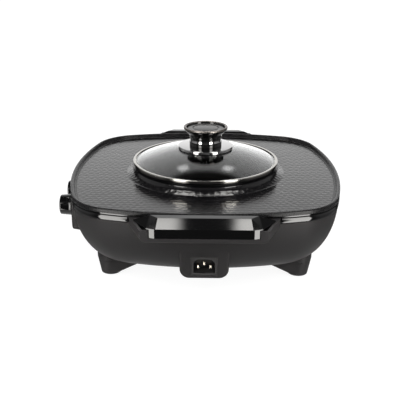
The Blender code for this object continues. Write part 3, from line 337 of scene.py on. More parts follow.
def box_cutter(low, high):
    """A box used only to cut, between two opposite corners."""
    (x0, y0, z0), (x1, y1, z1) = low, high
    corners = [(x0, y0), (x1, y0), (x1, y1), (x0, y1)]
    return cutter(np.array([[(x, y, z) for x, y in corners] for z in (z0, z1)]))


def carve(piece, cutters, crease=35, added=()):
    """Join added solids to a piece and take the cutters' shapes out of it, then delete them."""
    steps = [("UNION", tool) for tool in added] + [("DIFFERENCE", tool) for tool in cutters]
    for number, (operation, tool) in enumerate(steps):
        step = piece.modifiers.new(f"step_{number}", "BOOLEAN")
        step.operation = operation
        step.solver = "EXACT"
        step.object = tool
    carved = bpy.data.meshes.new_from_object(piece.evaluated_get(bpy.context.evaluated_depsgraph_get()))
    piece.modifiers.clear()
    carved.name = piece.name
    piece.data = carved
    shade(carved, crease)
    for _, tool in steps:
        bpy.data.objects.remove(tool)


def ease_edges(piece, width, segments=2, least_angle=30):
    """Round the edges that turn by more than an angle, and keep the flats between them flat."""
    ease = piece.modifiers.new("eased_edges", "BEVEL")
    ease.width = width
    ease.segments = segments
    ease.limit_method = "ANGLE"
    ease.angle_limit = np.radians(least_angle)
    ease.harden_normals = True
    ease.use_clamp_overlap = True


# Finishes: shared effects as groups, then one material for each surface


def effect_group(name, inputs, outputs):
    """An empty shader group with a place, float inputs at their usual values, and float outputs."""
    group = bpy.data.node_groups.new(name, "ShaderNodeTree")
    group.interface.new_socket("Place", in_out="INPUT", socket_type="NodeSocketVector")
    for label, value in inputs:
        socket = group.interface.new_socket(label, in_out="INPUT", socket_type="NodeSocketFloat")
        socket.default_value = value
    for label in outputs:
        group.interface.new_socket(label, in_out="OUTPUT", socket_type="NodeSocketFloat")
    start = group.nodes.new("NodeGroupInput")
    end = group.nodes.new("NodeGroupOutput")
    return group, start, end


def noise(tree, place, scale, detail=2.0, roughness=0.5):
    """Value of a noise texture at a place. Its scale is a number, or a socket that carries one."""
    node = tree.nodes.new("ShaderNodeTexNoise")
    node.inputs["Detail"].default_value = detail
    node.inputs["Roughness"].default_value = roughness
    tree.links.new(place, node.inputs["Vector"])
    if isinstance(scale, float):
        node.inputs["Scale"].default_value = scale
    else:
        tree.links.new(scale, node.inputs["Scale"])
    return node.outputs["Fac"]


def reckon(tree, operation, *terms):
    """One arithmetic step on sockets and plain numbers."""
    node = tree.nodes.new("ShaderNodeMath")
    node.operation = operation
    for socket, term in zip(node.inputs, terms):
        if isinstance(term, (int, float)):
            socket.default_value = term
        else:
            tree.links.new(term, socket)
    return node.outputs[0]


def spread(tree, value, low, high, start, end):
    """Carry a value from one range to another, held at its ends."""
    node = tree.nodes.new("ShaderNodeMapRange")
    tree.links.new(value, node.inputs["Value"])
    for label, number in (("From Min", low), ("From Max", high), ("To Min", start), ("To Max", end)):
        node.inputs[label].default_value = number
    return node.outputs["Result"]


def make_grain_group():
    """Spark-eroded mould grain: fine even pits, with slow changes of tone and gloss over them."""
    group, start, end = effect_group("mould_grain", [("Pits per metre", 2600.0)], ["Height", "Cloud"])
    place = start.outputs["Place"]
    pits = noise(group, place, start.outputs["Pits per metre"], 1.5)
    group.links.new(pits, end.inputs["Height"])
    group.links.new(noise(group, place, 22.0, 3.0), end.inputs["Cloud"])
    return group


def make_turning_group():
    """Lathe marks about the pot's axis: noise read from the distance to the axis and the height alone."""
    group, start, end = effect_group("turning_marks", [("Marks per metre", 1800.0)], ["Height"])
    parts = group.nodes.new("ShaderNodeSeparateXYZ")
    group.links.new(start.outputs["Place"], parts.inputs[0])
    squares = [reckon(group, "POWER", parts.outputs[axis], 2.0) for axis in ("X", "Y")]
    distance = reckon(group, "SQRT", reckon(group, "ADD", *squares))
    rings = group.nodes.new("ShaderNodeCombineXYZ")
    group.links.new(distance, rings.inputs["X"])
    group.links.new(parts.outputs["Z"], rings.inputs["Z"])
    lines = noise(group, rings.outputs[0], start.outputs["Marks per metre"])
    group.links.new(lines, end.inputs["Height"])
    return group


def make_haze_group():
    """Handling haze: a few broad soft patches and sparse fine specks of dust."""
    group, start, end = effect_group("handling_haze", [("Patches per metre", 30.0)], ["Haze", "Dust"])
    place = start.outputs["Place"]
    broad = noise(group, place, start.outputs["Patches per metre"], 4.0)
    group.links.new(spread(group, broad, 0.42, 0.75, 0.0, 1.0), end.inputs["Haze"])
    specks = noise(group, place, 900.0, 1.0)
    group.links.new(spread(group, specks, 0.73, 0.8, 0.0, 1.0), end.inputs["Dust"])
    return group


grain_group = make_grain_group()
turning_group = make_turning_group()
haze_group = make_haze_group()
finishes = {}


def start_finish(name, colour, roughness, metallic=0.0, gloss=0.5):
    """A new material with plain values on its shader, and object coordinates centred on the pot."""
    material = bpy.data.materials.new(name)
    material.use_nodes = True
    tree = material.node_tree
    shader = tree.nodes["Principled BSDF"]
    shader.inputs["Base Color"].default_value = (*colour, 1)
    shader.inputs["Roughness"].default_value = roughness
    shader.inputs["Metallic"].default_value = metallic
    shader.inputs["Specular IOR Level"].default_value = gloss
    place = tree.nodes.new("ShaderNodeTexCoord")
    centred = tree.nodes.new("ShaderNodeMapping")
    centred.inputs["Location"].default_value = (-pot_x, 0, 0)
    tree.links.new(place.outputs["Object"], centred.inputs["Vector"])
    finishes[name] = material
    return tree, shader, centred.outputs[0]


def use_group(tree, group, place, **values):
    """Place a shared effect in a material, with this material's values for the group's inputs. A value's
    name is the input's, with _ for each space."""
    node = tree.nodes.new("ShaderNodeGroup")
    node.node_tree = group
    tree.links.new(place, node.inputs["Place"])
    for label, value in values.items():
        node.inputs[label.replace("_", " ")].default_value = value
    return node


def emboss(tree, shader, height, depth, before=None):
    """Feed a height to the shader's normal, on top of an earlier bump where there is one."""
    bump = tree.nodes.new("ShaderNodeBump")
    bump.inputs["Strength"].default_value = 1.0
    bump.inputs["Distance"].default_value = depth
    tree.links.new(height, bump.inputs["Height"])
    if before:
        tree.links.new(before.outputs["Normal"], bump.inputs["Normal"])
    tree.links.new(bump.outputs["Normal"], shader.inputs["Normal"])
    return bump


def tint(tree, shader, share, dark, light):
    """Mix two colours by a share that changes over the surface."""
    mix = tree.nodes.new("ShaderNodeMix")
    mix.data_type = "RGBA"
    tree.links.new(share, mix.inputs["Factor"])
    mix.inputs["A"].default_value = (*dark, 1)
    mix.inputs["B"].default_value = (*light, 1)
    tree.links.new(mix.outputs["Result"], shader.inputs["Base Color"])


def shaded(colour, share):
    """A colour made darker or lighter, to a share of its own."""
    return [channel * share for channel in colour]


def vary_roughness(tree, shader, mask, low, high, start, end):
    """Let roughness go from a start value where a mask is low to an end value where it is high."""
    tree.links.new(spread(tree, mask, low, high, start, end), shader.inputs["Roughness"])


def make_moulded_finish(name, colour, roughness, pit_depth=0.00003, pits=2600.0, gloss=0.5):
    """Matte moulded plastic with spark grain."""
    tone_reach, roughness_reach = 0.08, 0.05
    tree, shader, place = start_finish(name, colour, roughness, gloss=gloss)
    grain = use_group(tree, grain_group, place, Pits_per_metre=pits)
    cloud = grain.outputs["Cloud"]
    tint(tree, shader, cloud, shaded(colour, 1 - tone_reach), shaded(colour, 1 + tone_reach))
    vary_roughness(tree, shader, cloud, 0.3, 0.7, roughness - roughness_reach, roughness + roughness_reach)
    emboss(tree, shader, grain.outputs["Height"], pit_depth)


def make_gloss_finish(name, colour, roughness=0.05, waviness=0.00001, gloss=0.4):
    """Polished black plastic: a deep mirror with faint haze, dust specks and mould waviness."""
    haze_reach, dust_tone = 0.02, 0.03
    tree, shader, place = start_finish(name, colour, roughness, gloss=gloss)
    haze = use_group(tree, haze_group, place, Patches_per_metre=26.0)
    vary_roughness(tree, shader, haze.outputs["Haze"], 0.0, 1.0, roughness, roughness + haze_reach)
    tint(tree, shader, haze.outputs["Dust"], colour, [channel + dust_tone for channel in colour])
    emboss(tree, shader, noise(tree, place, 60.0, 1.0), waviness)


def make_steel_finish(name, colour, roughness, marks=1800.0, depth=0.000004, haze_reach=0.06):
    """Polished steel with turning marks about the axis and a little haze."""
    mark_tone = 0.93
    tree, shader, place = start_finish(name, colour, roughness, metallic=1.0)
    haze = use_group(tree, haze_group, place, Patches_per_metre=40.0)
    vary_roughness(tree, shader, haze.outputs["Haze"], 0.0, 1.0, roughness, roughness + haze_reach)
    lines = use_group(tree, turning_group, place, Marks_per_metre=marks)
    tint(tree, shader, lines.outputs["Height"], shaded(colour, mark_tone), colour)
    emboss(tree, shader, lines.outputs["Height"], depth)


def hammer_marks(tree, place):
    """The shader's own copy of hammered_height, for slopes finer than the mesh."""
    parts = tree.nodes.new("ShaderNodeSeparateXYZ")
    tree.links.new(place, parts.inputs[0])
    x, y = parts.outputs["X"], parts.outputs["Y"]

    def sway(value, length, start, reach):
        turn = reckon(tree, "ADD", reckon(tree, "MULTIPLY", value, 2 * np.pi / length), start)
        return reckon(tree, "MULTIPLY", reckon(tree, "SINE", turn), reach)

    (x_from_y, x_from_x), (y_from_x, y_from_y) = hammer_sways
    bent_x = reckon(tree, "ADD", x, reckon(tree, "ADD", sway(y, *x_from_y), sway(x, *x_from_x)))
    bent_y = reckon(tree, "ADD", y, reckon(tree, "ADD", sway(x, *y_from_x), sway(y, *y_from_y)))
    total = hammer_offset
    for heading, strength in zip(hammer_headings, hammer_strengths):
        along = reckon(tree, "MULTIPLY", bent_x, hammer_wave * float(np.cos(heading)))
        across = reckon(tree, "MULTIPLY", bent_y, hammer_wave * float(np.sin(heading)))
        wave = reckon(tree, "COSINE", reckon(tree, "ADD", along, across))
        total = reckon(tree, "ADD", reckon(tree, "MULTIPLY", wave, strength), total)
    limited = reckon(tree, "TANH", reckon(tree, "MULTIPLY", total, hammer_limit))
    return reckon(tree, "MULTIPLY", limited, -1.0)


def make_griddle_finish():
    """Non-stick coating: smooth, finely speckled and hammered, the hammering fainter in places."""
    colour = (0.0042, 0.004, 0.0044)
    fleck = (0.011, 0.0105, 0.0115)
    tree, shader, place = start_finish("griddle_coating", colour, 0.16, gloss=0.36)
    speckle = noise(tree, place, 1500.0)
    tint(tree, shader, spread(tree, speckle, 0.45, 0.7, 0.0, 1.0), colour, fleck)
    vary_roughness(tree, shader, speckle, 0.3, 0.7, 0.12, 0.2)
    cover = spread(tree, noise(tree, place, 130.0), 0.35, 0.65, 0.45, 1.0)
    first = emboss(tree, shader, reckon(tree, "MULTIPLY", hammer_marks(tree, place), cover), 0.00006)
    second = emboss(tree, shader, noise(tree, place, 420.0, 2.0, 0.6), 0.000025, first)
    emboss(tree, shader, speckle, 0.000018, second)


def make_cast_rim_finish():
    """The same coating sprayed thin over the casting's sand-rough rim: dull, with coarse grit."""
    colour = (0.006, 0.0058, 0.0062)
    bare = (0.028, 0.027, 0.028)
    tree, shader, place = start_finish("cast_rim_coating", colour, 0.3, gloss=0.18)
    grit = noise(tree, place, 800.0, 3.0, 0.6)
    tint(tree, shader, spread(tree, grit, 0.5, 0.72, 0.0, 1.0), colour, bare)
    vary_roughness(tree, shader, grit, 0.3, 0.7, 0.22, 0.38)
    emboss(tree, shader, grit, 0.00016)


def make_pot_finish():
    """Coating on the collar and in the pot: dark and satin, with faint turning marks."""
    colour = (0.0022, 0.0022, 0.0024)
    tree, shader, place = start_finish("pot_coating", colour, 0.3, gloss=0.05)
    lines = use_group(tree, turning_group, place, Marks_per_metre=900.0)
    tint(tree, shader, lines.outputs["Height"], colour, (0.004, 0.0039, 0.0042))
    emboss(tree, shader, lines.outputs["Height"], 0.00002)


def make_glass_finish():
    """Clear tempered glass, a little less clear where it has been handled."""
    clear = (0.97, 0.985, 0.98)
    handled = (0.94, 0.955, 0.95)
    tree, shader, place = start_finish("lid_glass_clear", clear, 0.0)
    shader.inputs["Transmission Weight"].default_value = 1.0
    haze = use_group(tree, haze_group, place, Patches_per_metre=24.0)
    tint(tree, shader, haze.outputs["Haze"], clear, handled)


def make_rubber_finish(name, colour):
    """Matte rubber or silicone with coarse pits, mottled a little lighter."""
    mottle_tone = 1.3
    tree, shader, place = start_finish(name, colour, 0.75)
    grain = use_group(tree, grain_group, place, Pits_per_metre=1400.0)
    tint(tree, shader, grain.outputs["Cloud"], colour, shaded(colour, mottle_tone))
    emboss(tree, shader, grain.outputs["Height"], 0.00006)


make_moulded_finish("moulded_shell_black", (0.0395, 0.0377, 0.0381), 0.48, 0.00002, gloss=0.1)
make_moulded_finish("inlet_black", (0.026, 0.025, 0.025), 0.5, 0.00002, gloss=0.3)
make_gloss_finish("gloss_black", (0.006, 0.006, 0.0062), 0.045)
make_gloss_finish("grip_black", (0.006, 0.006, 0.006), 0.03, 0.000002, 0.5)
make_moulded_finish("satin_cap_grey", (0.02, 0.0185, 0.018), 0.16, 0.000001, 3600.0, gloss=0.15)
make_steel_finish("satin_bead_grey", (0.19, 0.174, 0.163), 0.36, 1800.0, 0.000001)
make_steel_finish("rim_steel", (0.44, 0.427, 0.4), 0.08)
make_steel_finish("disc_steel", (0.46, 0.455, 0.455), 0.03, 1200.0, 0.000001, 0.02)
make_steel_finish("fixing_steel", (0.55, 0.55, 0.54), 0.3, 2400.0, 0.000008)
make_steel_finish("shield_steel", (0.7, 0.7, 0.7), 0.28, 1500.0, 0.000008)
make_steel_finish("sheath_steel", (0.34, 0.32, 0.3), 0.42, 2000.0, 0.00001)
make_steel_finish("pin_brass", (0.8, 0.74, 0.62), 0.1, 2400.0, 0.000004)
make_griddle_finish()
make_cast_rim_finish()
make_pot_finish()
make_glass_finish()
make_rubber_finish("pad_rubber", (0.022, 0.022, 0.022))
make_rubber_finish("gasket_silicone", (0.6, 0.6, 0.58))
make_moulded_finish("white_ceramic", (0.72, 0.7, 0.66), 0.5, 0.00003, 1800.0)
make_gloss_finish("lens_red", (0.5, 0.02, 0.015), 0.06, 0.000002, 0.5)


# Casting


def hammered_height(x, y):
    """Dimples in a honeycomb: the sum of three waves whose directions lie 60 degrees apart, limited so
    that the hollows are broad and the ridges between them narrow. Slow waves pull the honeycomb a little
    askew, as hand hammering would."""

    def sway(value, length, start, reach):
        return reach * np.sin(2 * np.pi * value / length + start)

    (x_from_y, x_from_x), (y_from_x, y_from_y) = hammer_sways
    bent_x = x + sway(y, *x_from_y) + sway(x, *x_from_x)
    bent_y = y + sway(x, *y_from_x) + sway(y, *y_from_y)
    total = np.zeros_like(x)
    for heading, strength in zip(hammer_headings, hammer_strengths):
        total += strength * np.cos(hammer_wave * (bent_x * np.cos(heading) + bent_y * np.sin(heading)))
    return -np.tanh((total + hammer_offset) * hammer_limit)


def collar_skirt():
    """The slope from the griddle up to the collar, which tilts to 28 degrees and then on to 60: each
    row's share of the run, and how far in and how far up it lies, summed over short steps."""
    run = np.linspace(0, 1, 26)[:, None]
    tilt = np.radians(28 * smoothstep(0, 0.2, run) + 32 * smoothstep(0.55, 0.9, run))
    between = (tilt[1:] + tilt[:-1]) / 2
    step = skirt_length * (run[1] - run[0])
    along = np.vstack([[[0]], np.cumsum(np.cos(between), 0) * step])
    climb = np.vstack([[[0]], np.cumsum(np.sin(between), 0) * step])
    return run, along, climb


def griddle_rows(angle, outline):
    """Rows of reach and height from the lip in to the collar, and how high the last one lies above the
    griddle: the flat deck with its hammering and radial grooves, then the skirt, whose hammering is twice
    as deep and dies out on its way up."""

    def dents(reach, share):
        height = hammered_height(reach * np.cos(angle), reach * np.sin(angle))
        return deck_relief * (height - 1) * share

    run, along, climb = collar_skirt()
    inner = collar_radius + along[-1, 0]
    edge = outline * (1 - deck_edge / half_plate)
    across = np.linspace(1, 0, 84)[1:-1, None]
    reach = inner + across * (edge - inner)
    dimples = dents(reach, smoothstep(0, 0.03, 1 - across))
    pitch = 2 * np.pi / groove_count
    off_groove = np.abs((angle + pitch / 2) % pitch - pitch / 2) * reach
    groove_ends = smoothstep(0.03, 0.08, across) * smoothstep(0.02, 0.08, 1 - across)
    groove = np.exp(-((off_groove / groove_width) ** 2)) * groove_ends
    rows = list(zip(reach, griddle_z + dimples - groove_depth * groove))
    reach = np.broadcast_to(inner - along, (len(run), len(angle)))
    dimples = dents(reach, 2 * (1 - smoothstep(0.5, 0.8, run)))
    rows += zip(reach, griddle_z + climb + dimples)
    return rows, climb[-1, 0]


def add_casting():
    """One closed skin of rings: from the middle of the pot's underside out under the plate, up the
    outside of the rim, over the lip, in across the griddle, up the collar, and down the pot's wall to the
    middle of its floor."""
    columns = 720
    angle = full_turn(columns)
    outline = outline_reach(angle)
    deck, rim, pot = 0, 1, 2
    rings = []

    def plan(path, part):
        for inset, z in path:
            rings.append((outline * (1 - inset / half_plate), np.full(columns, z), part))

    def round_part(path, part):
        for radius, z in path:
            rings.append((np.full(columns, radius), np.full(columns, z), part))

    middle = 0.0005
    floor_radius = collar_inner - pot_taper
    under = pot_floor - pot_floor_wall
    underside = [
        (middle, under),
        (floor_radius + pot_side_wall, under, 0.012),
        (collar_radius - 0.001, plate_under, 0.004),
        (collar_radius + 0.01, plate_under),
    ]
    round_part(rounded_path(underside, 0.004, 4), pot)
    plan([(0.012, plate_under), (0.0084, plate_under), (rim_wrap, plate_under + 0.0004)], rim)
    rim_path = [
        (rim_wrap, rim_foot),
        (0, rim_foot, 0.0006),
        (0, lip_top, 0.0022),
        (lip_width, lip_top, 0.0014),
        (lip_foot, griddle_z, 0.0012),
        (deck_edge, griddle_z),
    ]
    plan(rounded_path(rim_path, 0.0006, 5), rim)
    rows, skirt_rise = griddle_rows(angle, outline)
    rings += [(*row, deck) for row in rows]
    collar = [
        (collar_radius, griddle_z + skirt_rise + 0.0005),
        (collar_radius, collar_top, 0.0011),
        (collar_inner, collar_top, 0.0011),
        (floor_radius, pot_floor, 0.014),
        (middle, pot_floor),
    ]
    round_part(rounded_path(collar, 0.001, 6), pot)
    reach = np.stack([ring[0] for ring in rings])
    height = np.stack([ring[1] for ring in rings])
    points = np.stack([pot_x + reach * np.cos(angle), reach * np.sin(angle), height], -1)
    casting = skin("griddle_casting", points, "griddle_coating", "base", ["grill_plate"], crease=50)
    casting.data.materials.append(finishes["cast_rim_coating"])
    casting.data.materials.append(finishes["pot_coating"])
    part = np.array([ring[2] for ring in rings])
    below, above = part[:-1], part[1:]
    band = np.where(np.minimum(below, above) == deck, deck, np.maximum(below, above))
    faces = np.concatenate([np.repeat(band, columns), np.full(2 * columns, pot)])
    casting.data.polygons.foreach_set("material_index", faces.astype(np.int32))


# Lower shell, as the moulding's bowl with its brackets, boxes and feet


def shell_inset(drop):
    """Inset of the shell's wall, a share of the way down: a little draft, then a steepening tuck."""
    tuck = 1 - np.sqrt(np.maximum(0, 1 - drop**tuck_power))
    return shell_edge + shell_draft * drop + shell_tuck * tuck


def foot_centre(sign_x, sign_y):
    """Place of a foot's upright axis, by its sides."""
    from_side, from_end = 0.0562, 0.0714
    return pot_x + sign_x * (half_plate - from_side), sign_y * (half_plate - from_end)


def vent_cutters():
    """Two rows of five slots with round ends through the floor."""
    corners = 32
    half_width, half_run = 0.0015, 0.0105
    pitch, row_reach = 0.014, 0.035
    low, high = shell_floor - cut_overrun, shell_floor + 0.005
    angle = full_turn(corners) + np.pi / corners
    across = half_width * np.cos(angle)
    along = half_width * np.sin(angle) + np.sign(np.sin(angle)) * half_run
    slots = []
    for row in (front, rear):
        for place in range(-2, 3):
            x = np.broadcast_to(pot_x + place * pitch + across, (2, corners))
            y = np.broadcast_to(row * row_reach + along, (2, corners))
            z = np.broadcast_to(np.array([[low], [high]]), (2, corners))
            slots.append(cutter(np.stack([x, y, z], -1)))
    return slots


def add_bowl():
    """Outer wall from the middle of the floor up to the rim, over it, and the inner wall a wall's
    thickness inside back down; then the vent slots and the deep holes for the long screws."""
    wall = moulding_wall
    share = np.sin(np.linspace(0, np.pi / 2, 30)) ** (2 / tuck_power)
    outer = shell_inset(share)
    outer_z = shell_top - share * (shell_top - shell_floor)
    inner_z = shell_top - share * (shell_top - shell_floor - wall)
    floor = [0.166, 0.12, 0.08]
    insets = [*floor, *outer[:0:-1], shell_edge, 0.0012, 0.0024, *(outer + wall)[1:], *floor[::-1]]
    heights = [shell_floor] * 3 + [*outer_z[:0:-1], shell_top - 0.0006, shell_top, shell_top]
    heights += [*inner_z[1:], *[shell_floor + wall] * 3]
    bowl = shell_part("shell_bowl", plan_rings(insets, heights), 60)
    holes = vent_cutters()
    post_reach, post_angle = 0.1166, np.radians(31)
    for sign_x, sign_y in corner_signs.values():
        x = pot_x + sign_x * post_reach * np.cos(post_angle)
        y = sign_y * post_reach * np.sin(post_angle)
        low, high = shell_floor - cut_overrun, shell_floor + 0.006
        holes.append(round_cutter((x, y, 0), 2, low, high, screw_head))
    carve(bowl, holes, 60)


def shell_part(name, rings, crease=40):
    """A part of the lower shell's moulding, as a skin over its rings."""
    return skin(name, np.asarray(rings), "moulded_shell_black", "base", ["lower_shell"], crease=crease)


def section_ring(half_width, top, bottom, radius):
    """Across and up: flat top, straight sides and a flat bottom with rounded corners."""
    low = [(-half_width, bottom, radius), (half_width, bottom, radius)]
    corners = [(-half_width, top, 0), *low, (half_width, top, 0)]
    return rounded_path(corners, radius, 10, closed=True)


def eased_sizes(root, face, half, flare, ease):
    """Reach, half width and draw-in from a root to a face: straight, then a quarter circle."""
    sizes = [(root, half + flare, 0), (face - ease, half, 0)]
    for turn in np.linspace(0, np.pi / 2, 5)[1:]:
        drawn_in = ease * (1 - np.cos(turn))
        sizes.append((face - ease + ease * np.sin(turn), half - drawn_in, drawn_in))
    return sizes


def bracket_rings(side, wall, root, top):
    """Sections of a handle's lower half from root to eased face; a wall draws in its hollow."""
    ease, corner, taper_share = 0.0016, 0.0125, 0.39
    face = handle_reach - 0.0007 - wall
    half = 0.1386 / 2 - wall
    flare = taper_share * (face - ease - root)
    rings = []
    for reach, half_width, rise in eased_sizes(root, face, half, flare, ease):
        bottom = handle_seat - bracket_drop + wall + rise
        across, up = section_ring(half_width, top, bottom, corner - wall - rise).T
        rings.append(np.stack([pot_x + across, np.full_like(across, side * reach), up], -1))
    return np.stack(rings)


def add_bracket(side, name):
    """Matte lower half of a handle: a hollow box with an eased face, a window in that face for the cap's
    front block, and two sunk screw holes in its floor."""
    root, hollow_root, cap_gap = 0.150, 0.1737, 0.0003
    rings = bracket_rings(side, 0, root, handle_seat - cap_gap)
    bracket = shell_part(name, rings)
    pocket = cutter(bracket_rings(side, moulding_wall, hollow_root, lip_top))
    half_window = 0.0595
    near, far = sorted((side * 0.1935, side * (handle_reach + cut_overrun)))
    low = handle_seat - 0.0093
    window = box_cutter((pot_x - half_window, near, low), (pot_x + half_window, far, lip_top))
    screw_across, screw_reach = 0.040, 0.18202
    floor = handle_seat - bracket_drop
    holes = []
    for across in (left, right):
        place = (pot_x + across * screw_across, side * screw_reach, 0)
        for height, radius in ((0.0021, screw_head), (0.006, 0.0023)):
            holes.append(round_cutter(place, 2, floor - cut_overrun, floor + height, radius))
    carve(bracket, [pocket, window, *holes], 40)
    ease_edges(bracket, 0.0004, 2, 50)


def add_inlet_box():
    """Box round the power inlet: rounded bottom corners, an eased face with the socket's opening and its
    shallow seat, and its root inside the bowl."""
    root, face = 0.120, half_plate - 0.0093
    half, bottom, top = 0.028, 0.022, 0.064
    corner, ease = 0.011, 0.0015
    rings = []
    for reach, half_width, drawn_in in eased_sizes(root, face, half, 0, ease):
        across, up = section_ring(half_width, top, bottom + drawn_in, corner - drawn_in).T
        rings.append(np.stack([pot_x + across, np.full_like(across, -reach), up], -1))
    box = shell_part("inlet_box", rings)
    socket_z = 0.0375
    cuts = []
    for half_across, half_up, inner in ((0.0141, 0.0102, -0.128), (0.0153, 0.01155, 0.0012 - face)):
        low = (pot_x - half_across, -face - cut_overrun, socket_z - half_up)
        cuts.append(box_cutter(low, (pot_x + half_across, inner, socket_z + half_up)))
    carve(box, cuts, 40)


def add_control_box():
    """Box behind the control knobs: a rounded rectangle from the bowl to a narrower, eased face."""
    root, face = 0.140, half_plate - 0.0012
    half, bottom, top = 0.054, 0.034, 0.0802
    corner, flare, ease = 0.008, 0.003, 0.0018
    rings = []
    for reach, half_width, drawn_in in eased_sizes(root, face, half, flare, ease):
        grow = half_width + drawn_in - half
        low, high = bottom - grow + drawn_in, top + grow - drawn_in
        corners = [(-half_width, high), (-half_width, low), (half_width, low), (half_width, high)]
        across, up = rounded_path(corners, corner, 10, closed=True).T
        rings.append(np.stack([np.full_like(across, pot_x - reach), across, up], -1))
    shell_part("control_box", rings)


def foot_ring(centre, radius, web, web_radius, z):
    """A round end at the foot's own axis, drawn out towards the appliance's middle to a smaller round
    end, with straight sides that touch both."""
    columns = 72
    angle = full_turn(columns) + np.pi / columns
    inner = np.cos(angle) > (radius - web_radius) / max(web, 1e-9)
    size = np.where(inner, web_radius, radius)
    shift = np.where(inner, web, 0.0)
    towards = -np.sign(centre[0] - pot_x)
    x = centre[0] + towards * (shift + size * np.cos(angle))
    return np.stack([x, centre[1] + size * np.sin(angle), np.full(columns, z)], -1)


def add_foot(corner, sign_x, sign_y):
    """Tapered foot: a small round sole with the pad's recess, that grows into a long web as it rises;
    over it, a hair apart, the flared seat that the shell's floor sends down to it."""
    centre = foot_centre(sign_x, sign_y)
    web, web_radius, web_power = 0.042, 0.007, 1.1
    low, high = 0.0022, 0.0195
    pad_radius, pad_depth = 0.0093, 0.0033
    rings = [foot_ring(centre, radius, 0, radius, z) for radius, z in ((0.0113, 0.0012), (0.012, 0.0015))]
    for share in np.linspace(0, 1, 15):
        z = low + share * (high - low)
        radius = 0.0123 + 0.0032 * share
        end_radius = radius * (1 - share) + web_radius * share
        rings.append(foot_ring(centre, radius, web * share**web_power, end_radius, z))
    name = f"foot_{corner}"
    foot = skin(f"{name}_body", np.stack(rings), "moulded_shell_black", "base", [name], crease=50)
    carve(foot, [round_cutter((*centre, 0), 2, 0, pad_depth, pad_radius, 64)], 50)
    flare = [(0.0155, 0.0198), (0.0158, 0.0208), (0.0161, 0.0225), (0.0162, 0.026), (0.0155, 0.032)]
    seat = [foot_ring(centre, radius, web, radius - 0.0085, z) for radius, z in flare]
    shell_part(f"{name}_seat", seat, 50)


def mirrored_outline(outline, side, z):
    """Level outline at a height: (reach, half width) points on its left, mirrored to its right."""
    points = [(pot_x - half, side * reach, z) for reach, half in outline]
    return points + [(pot_x + half, side * reach, z) for reach, half in reversed(outline)]


def cap_solid(name, side, wall, seat):
    """Faceted shell of a handle cap: level outlines at the seat, the crease and the flat top, each from
    its left root round to its right root. The corner facets are split along the same diagonal."""
    outer = [
        (0.1709 + wall, 0.0775 - wall),
        (0.196 - wall, 0.062 - wall),
        (handle_reach - wall, 0.0515 - wall),
    ]
    flat = [
        (0.175 + wall, 0.0587 - wall),
        (0.1795, 0.05435 - wall),
        (0.184 - wall, 0.050 - wall),
    ]
    points = mirrored_outline(outer, side, seat)
    points += mirrored_outline(outer, side, handle_seat + 0.0015 - wall / 2)
    points += mirrored_outline(flat, side, handle_seat + 0.0085 - wall)
    faces = [[0, 1, 2, 3, 4, 5], [17, 16, 15, 14, 13, 12]]
    faces += [[n, n + 6, (n + 1) % 6 + 6, (n + 1) % 6] for n in range(6)]
    faces += [[6, 12, 7], [12, 13, 7], [7, 13, 14], [7, 14, 8], [8, 14, 15, 9]]
    faces += [[9, 15, 10], [15, 16, 10], [10, 16, 17], [10, 17, 11], [11, 17, 12, 6]]
    if side > 0:
        faces = [face[::-1] for face in faces]
    return put_mesh(name, points, faces)


def add_handle_cap(side, name):
    """Glossy cap: faceted and hollow, with the front block that drops into the bracket's window."""
    cap = cap_solid(f"{name}_cap", side, 0, handle_seat)
    hollow = cap_solid("cutter", side, moulding_wall, handle_seat - cut_overrun)
    outline = [(0.1938, 0.0592), (0.19693, 0.0592), (handle_reach, 0.053)]
    levels = (handle_seat - 0.009, handle_seat + 0.0015)
    block = cutter(np.array([mirrored_outline(outline, side, z) for z in levels]))
    cap.data.materials.append(finishes["gloss_black"])
    least_angle = 12
    carve(cap, [hollow], least_angle, [block])
    cap.data.shade_flat()
    ease_edges(cap, 0.0004, 2, least_angle)
    cap.modifiers["eased_edges"].harden_normals = False
    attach(cap, "base")
    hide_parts(name)


def add_trim_band():
    """Glossy frame: a bead outside, a ledge under the casting and a skirt inside the shell. Behind each
    handle the bead steps back by 3.5 mm."""
    low, top, ledge = 0.0905, 0.0965, 0.0985
    step, edge_from, edge_to, side_from = 0.0035, 0.0834, 0.0846, 0.1
    path = [
        (0.0001, low, 0.0008),
        (0, low + 0.0035, 0.0014),
        (0.0012, top, 0.0012),
        (0.0022, top, 0.0004),
        (0.0022, ledge, 0.0004),
        (0.0079, ledge, 0.0004),
        (0.0079, ledge - 0.002, 0.0004),
        (0.0053, ledge - 0.002, 0.0004),
        (0.0053, low - 0.006, 0.0004),
        (0.0034, low - 0.006, 0.0004),
        (0.0034, low, 0.0002),
    ]
    insets, heights = rounded_path(path, 0.0008, 5, closed=True).T
    rings = plan_rings(insets, heights, 720)
    x, y, z = rings[..., 0] - pot_x, rings[..., 1], rings[..., 2]
    outer = (1 - smoothstep(0.0020, 0.0036, insets))[:, None] * (z < top + 0.0002)
    behind_handle = (1 - smoothstep(edge_from, edge_to, np.abs(x))) * (np.abs(y) > side_from)
    rings[..., 1] -= np.sign(y) * step * behind_handle * outer
    skin("trim_frame", rings, "gloss_black", "base", ["upper_frame"], joined=True, crease=40)


# Lid


def glass_height(radius):
    """Top of the glass: a sphere that starts level with the flat edge."""
    sphere = (dome_radius**2 + dome_rise**2) / (2 * dome_rise)
    over_centre = np.sqrt(sphere**2 - np.minimum(dome_radius, radius) ** 2)
    return glass_edge_z + over_centre - np.sqrt(sphere**2 - dome_radius**2)


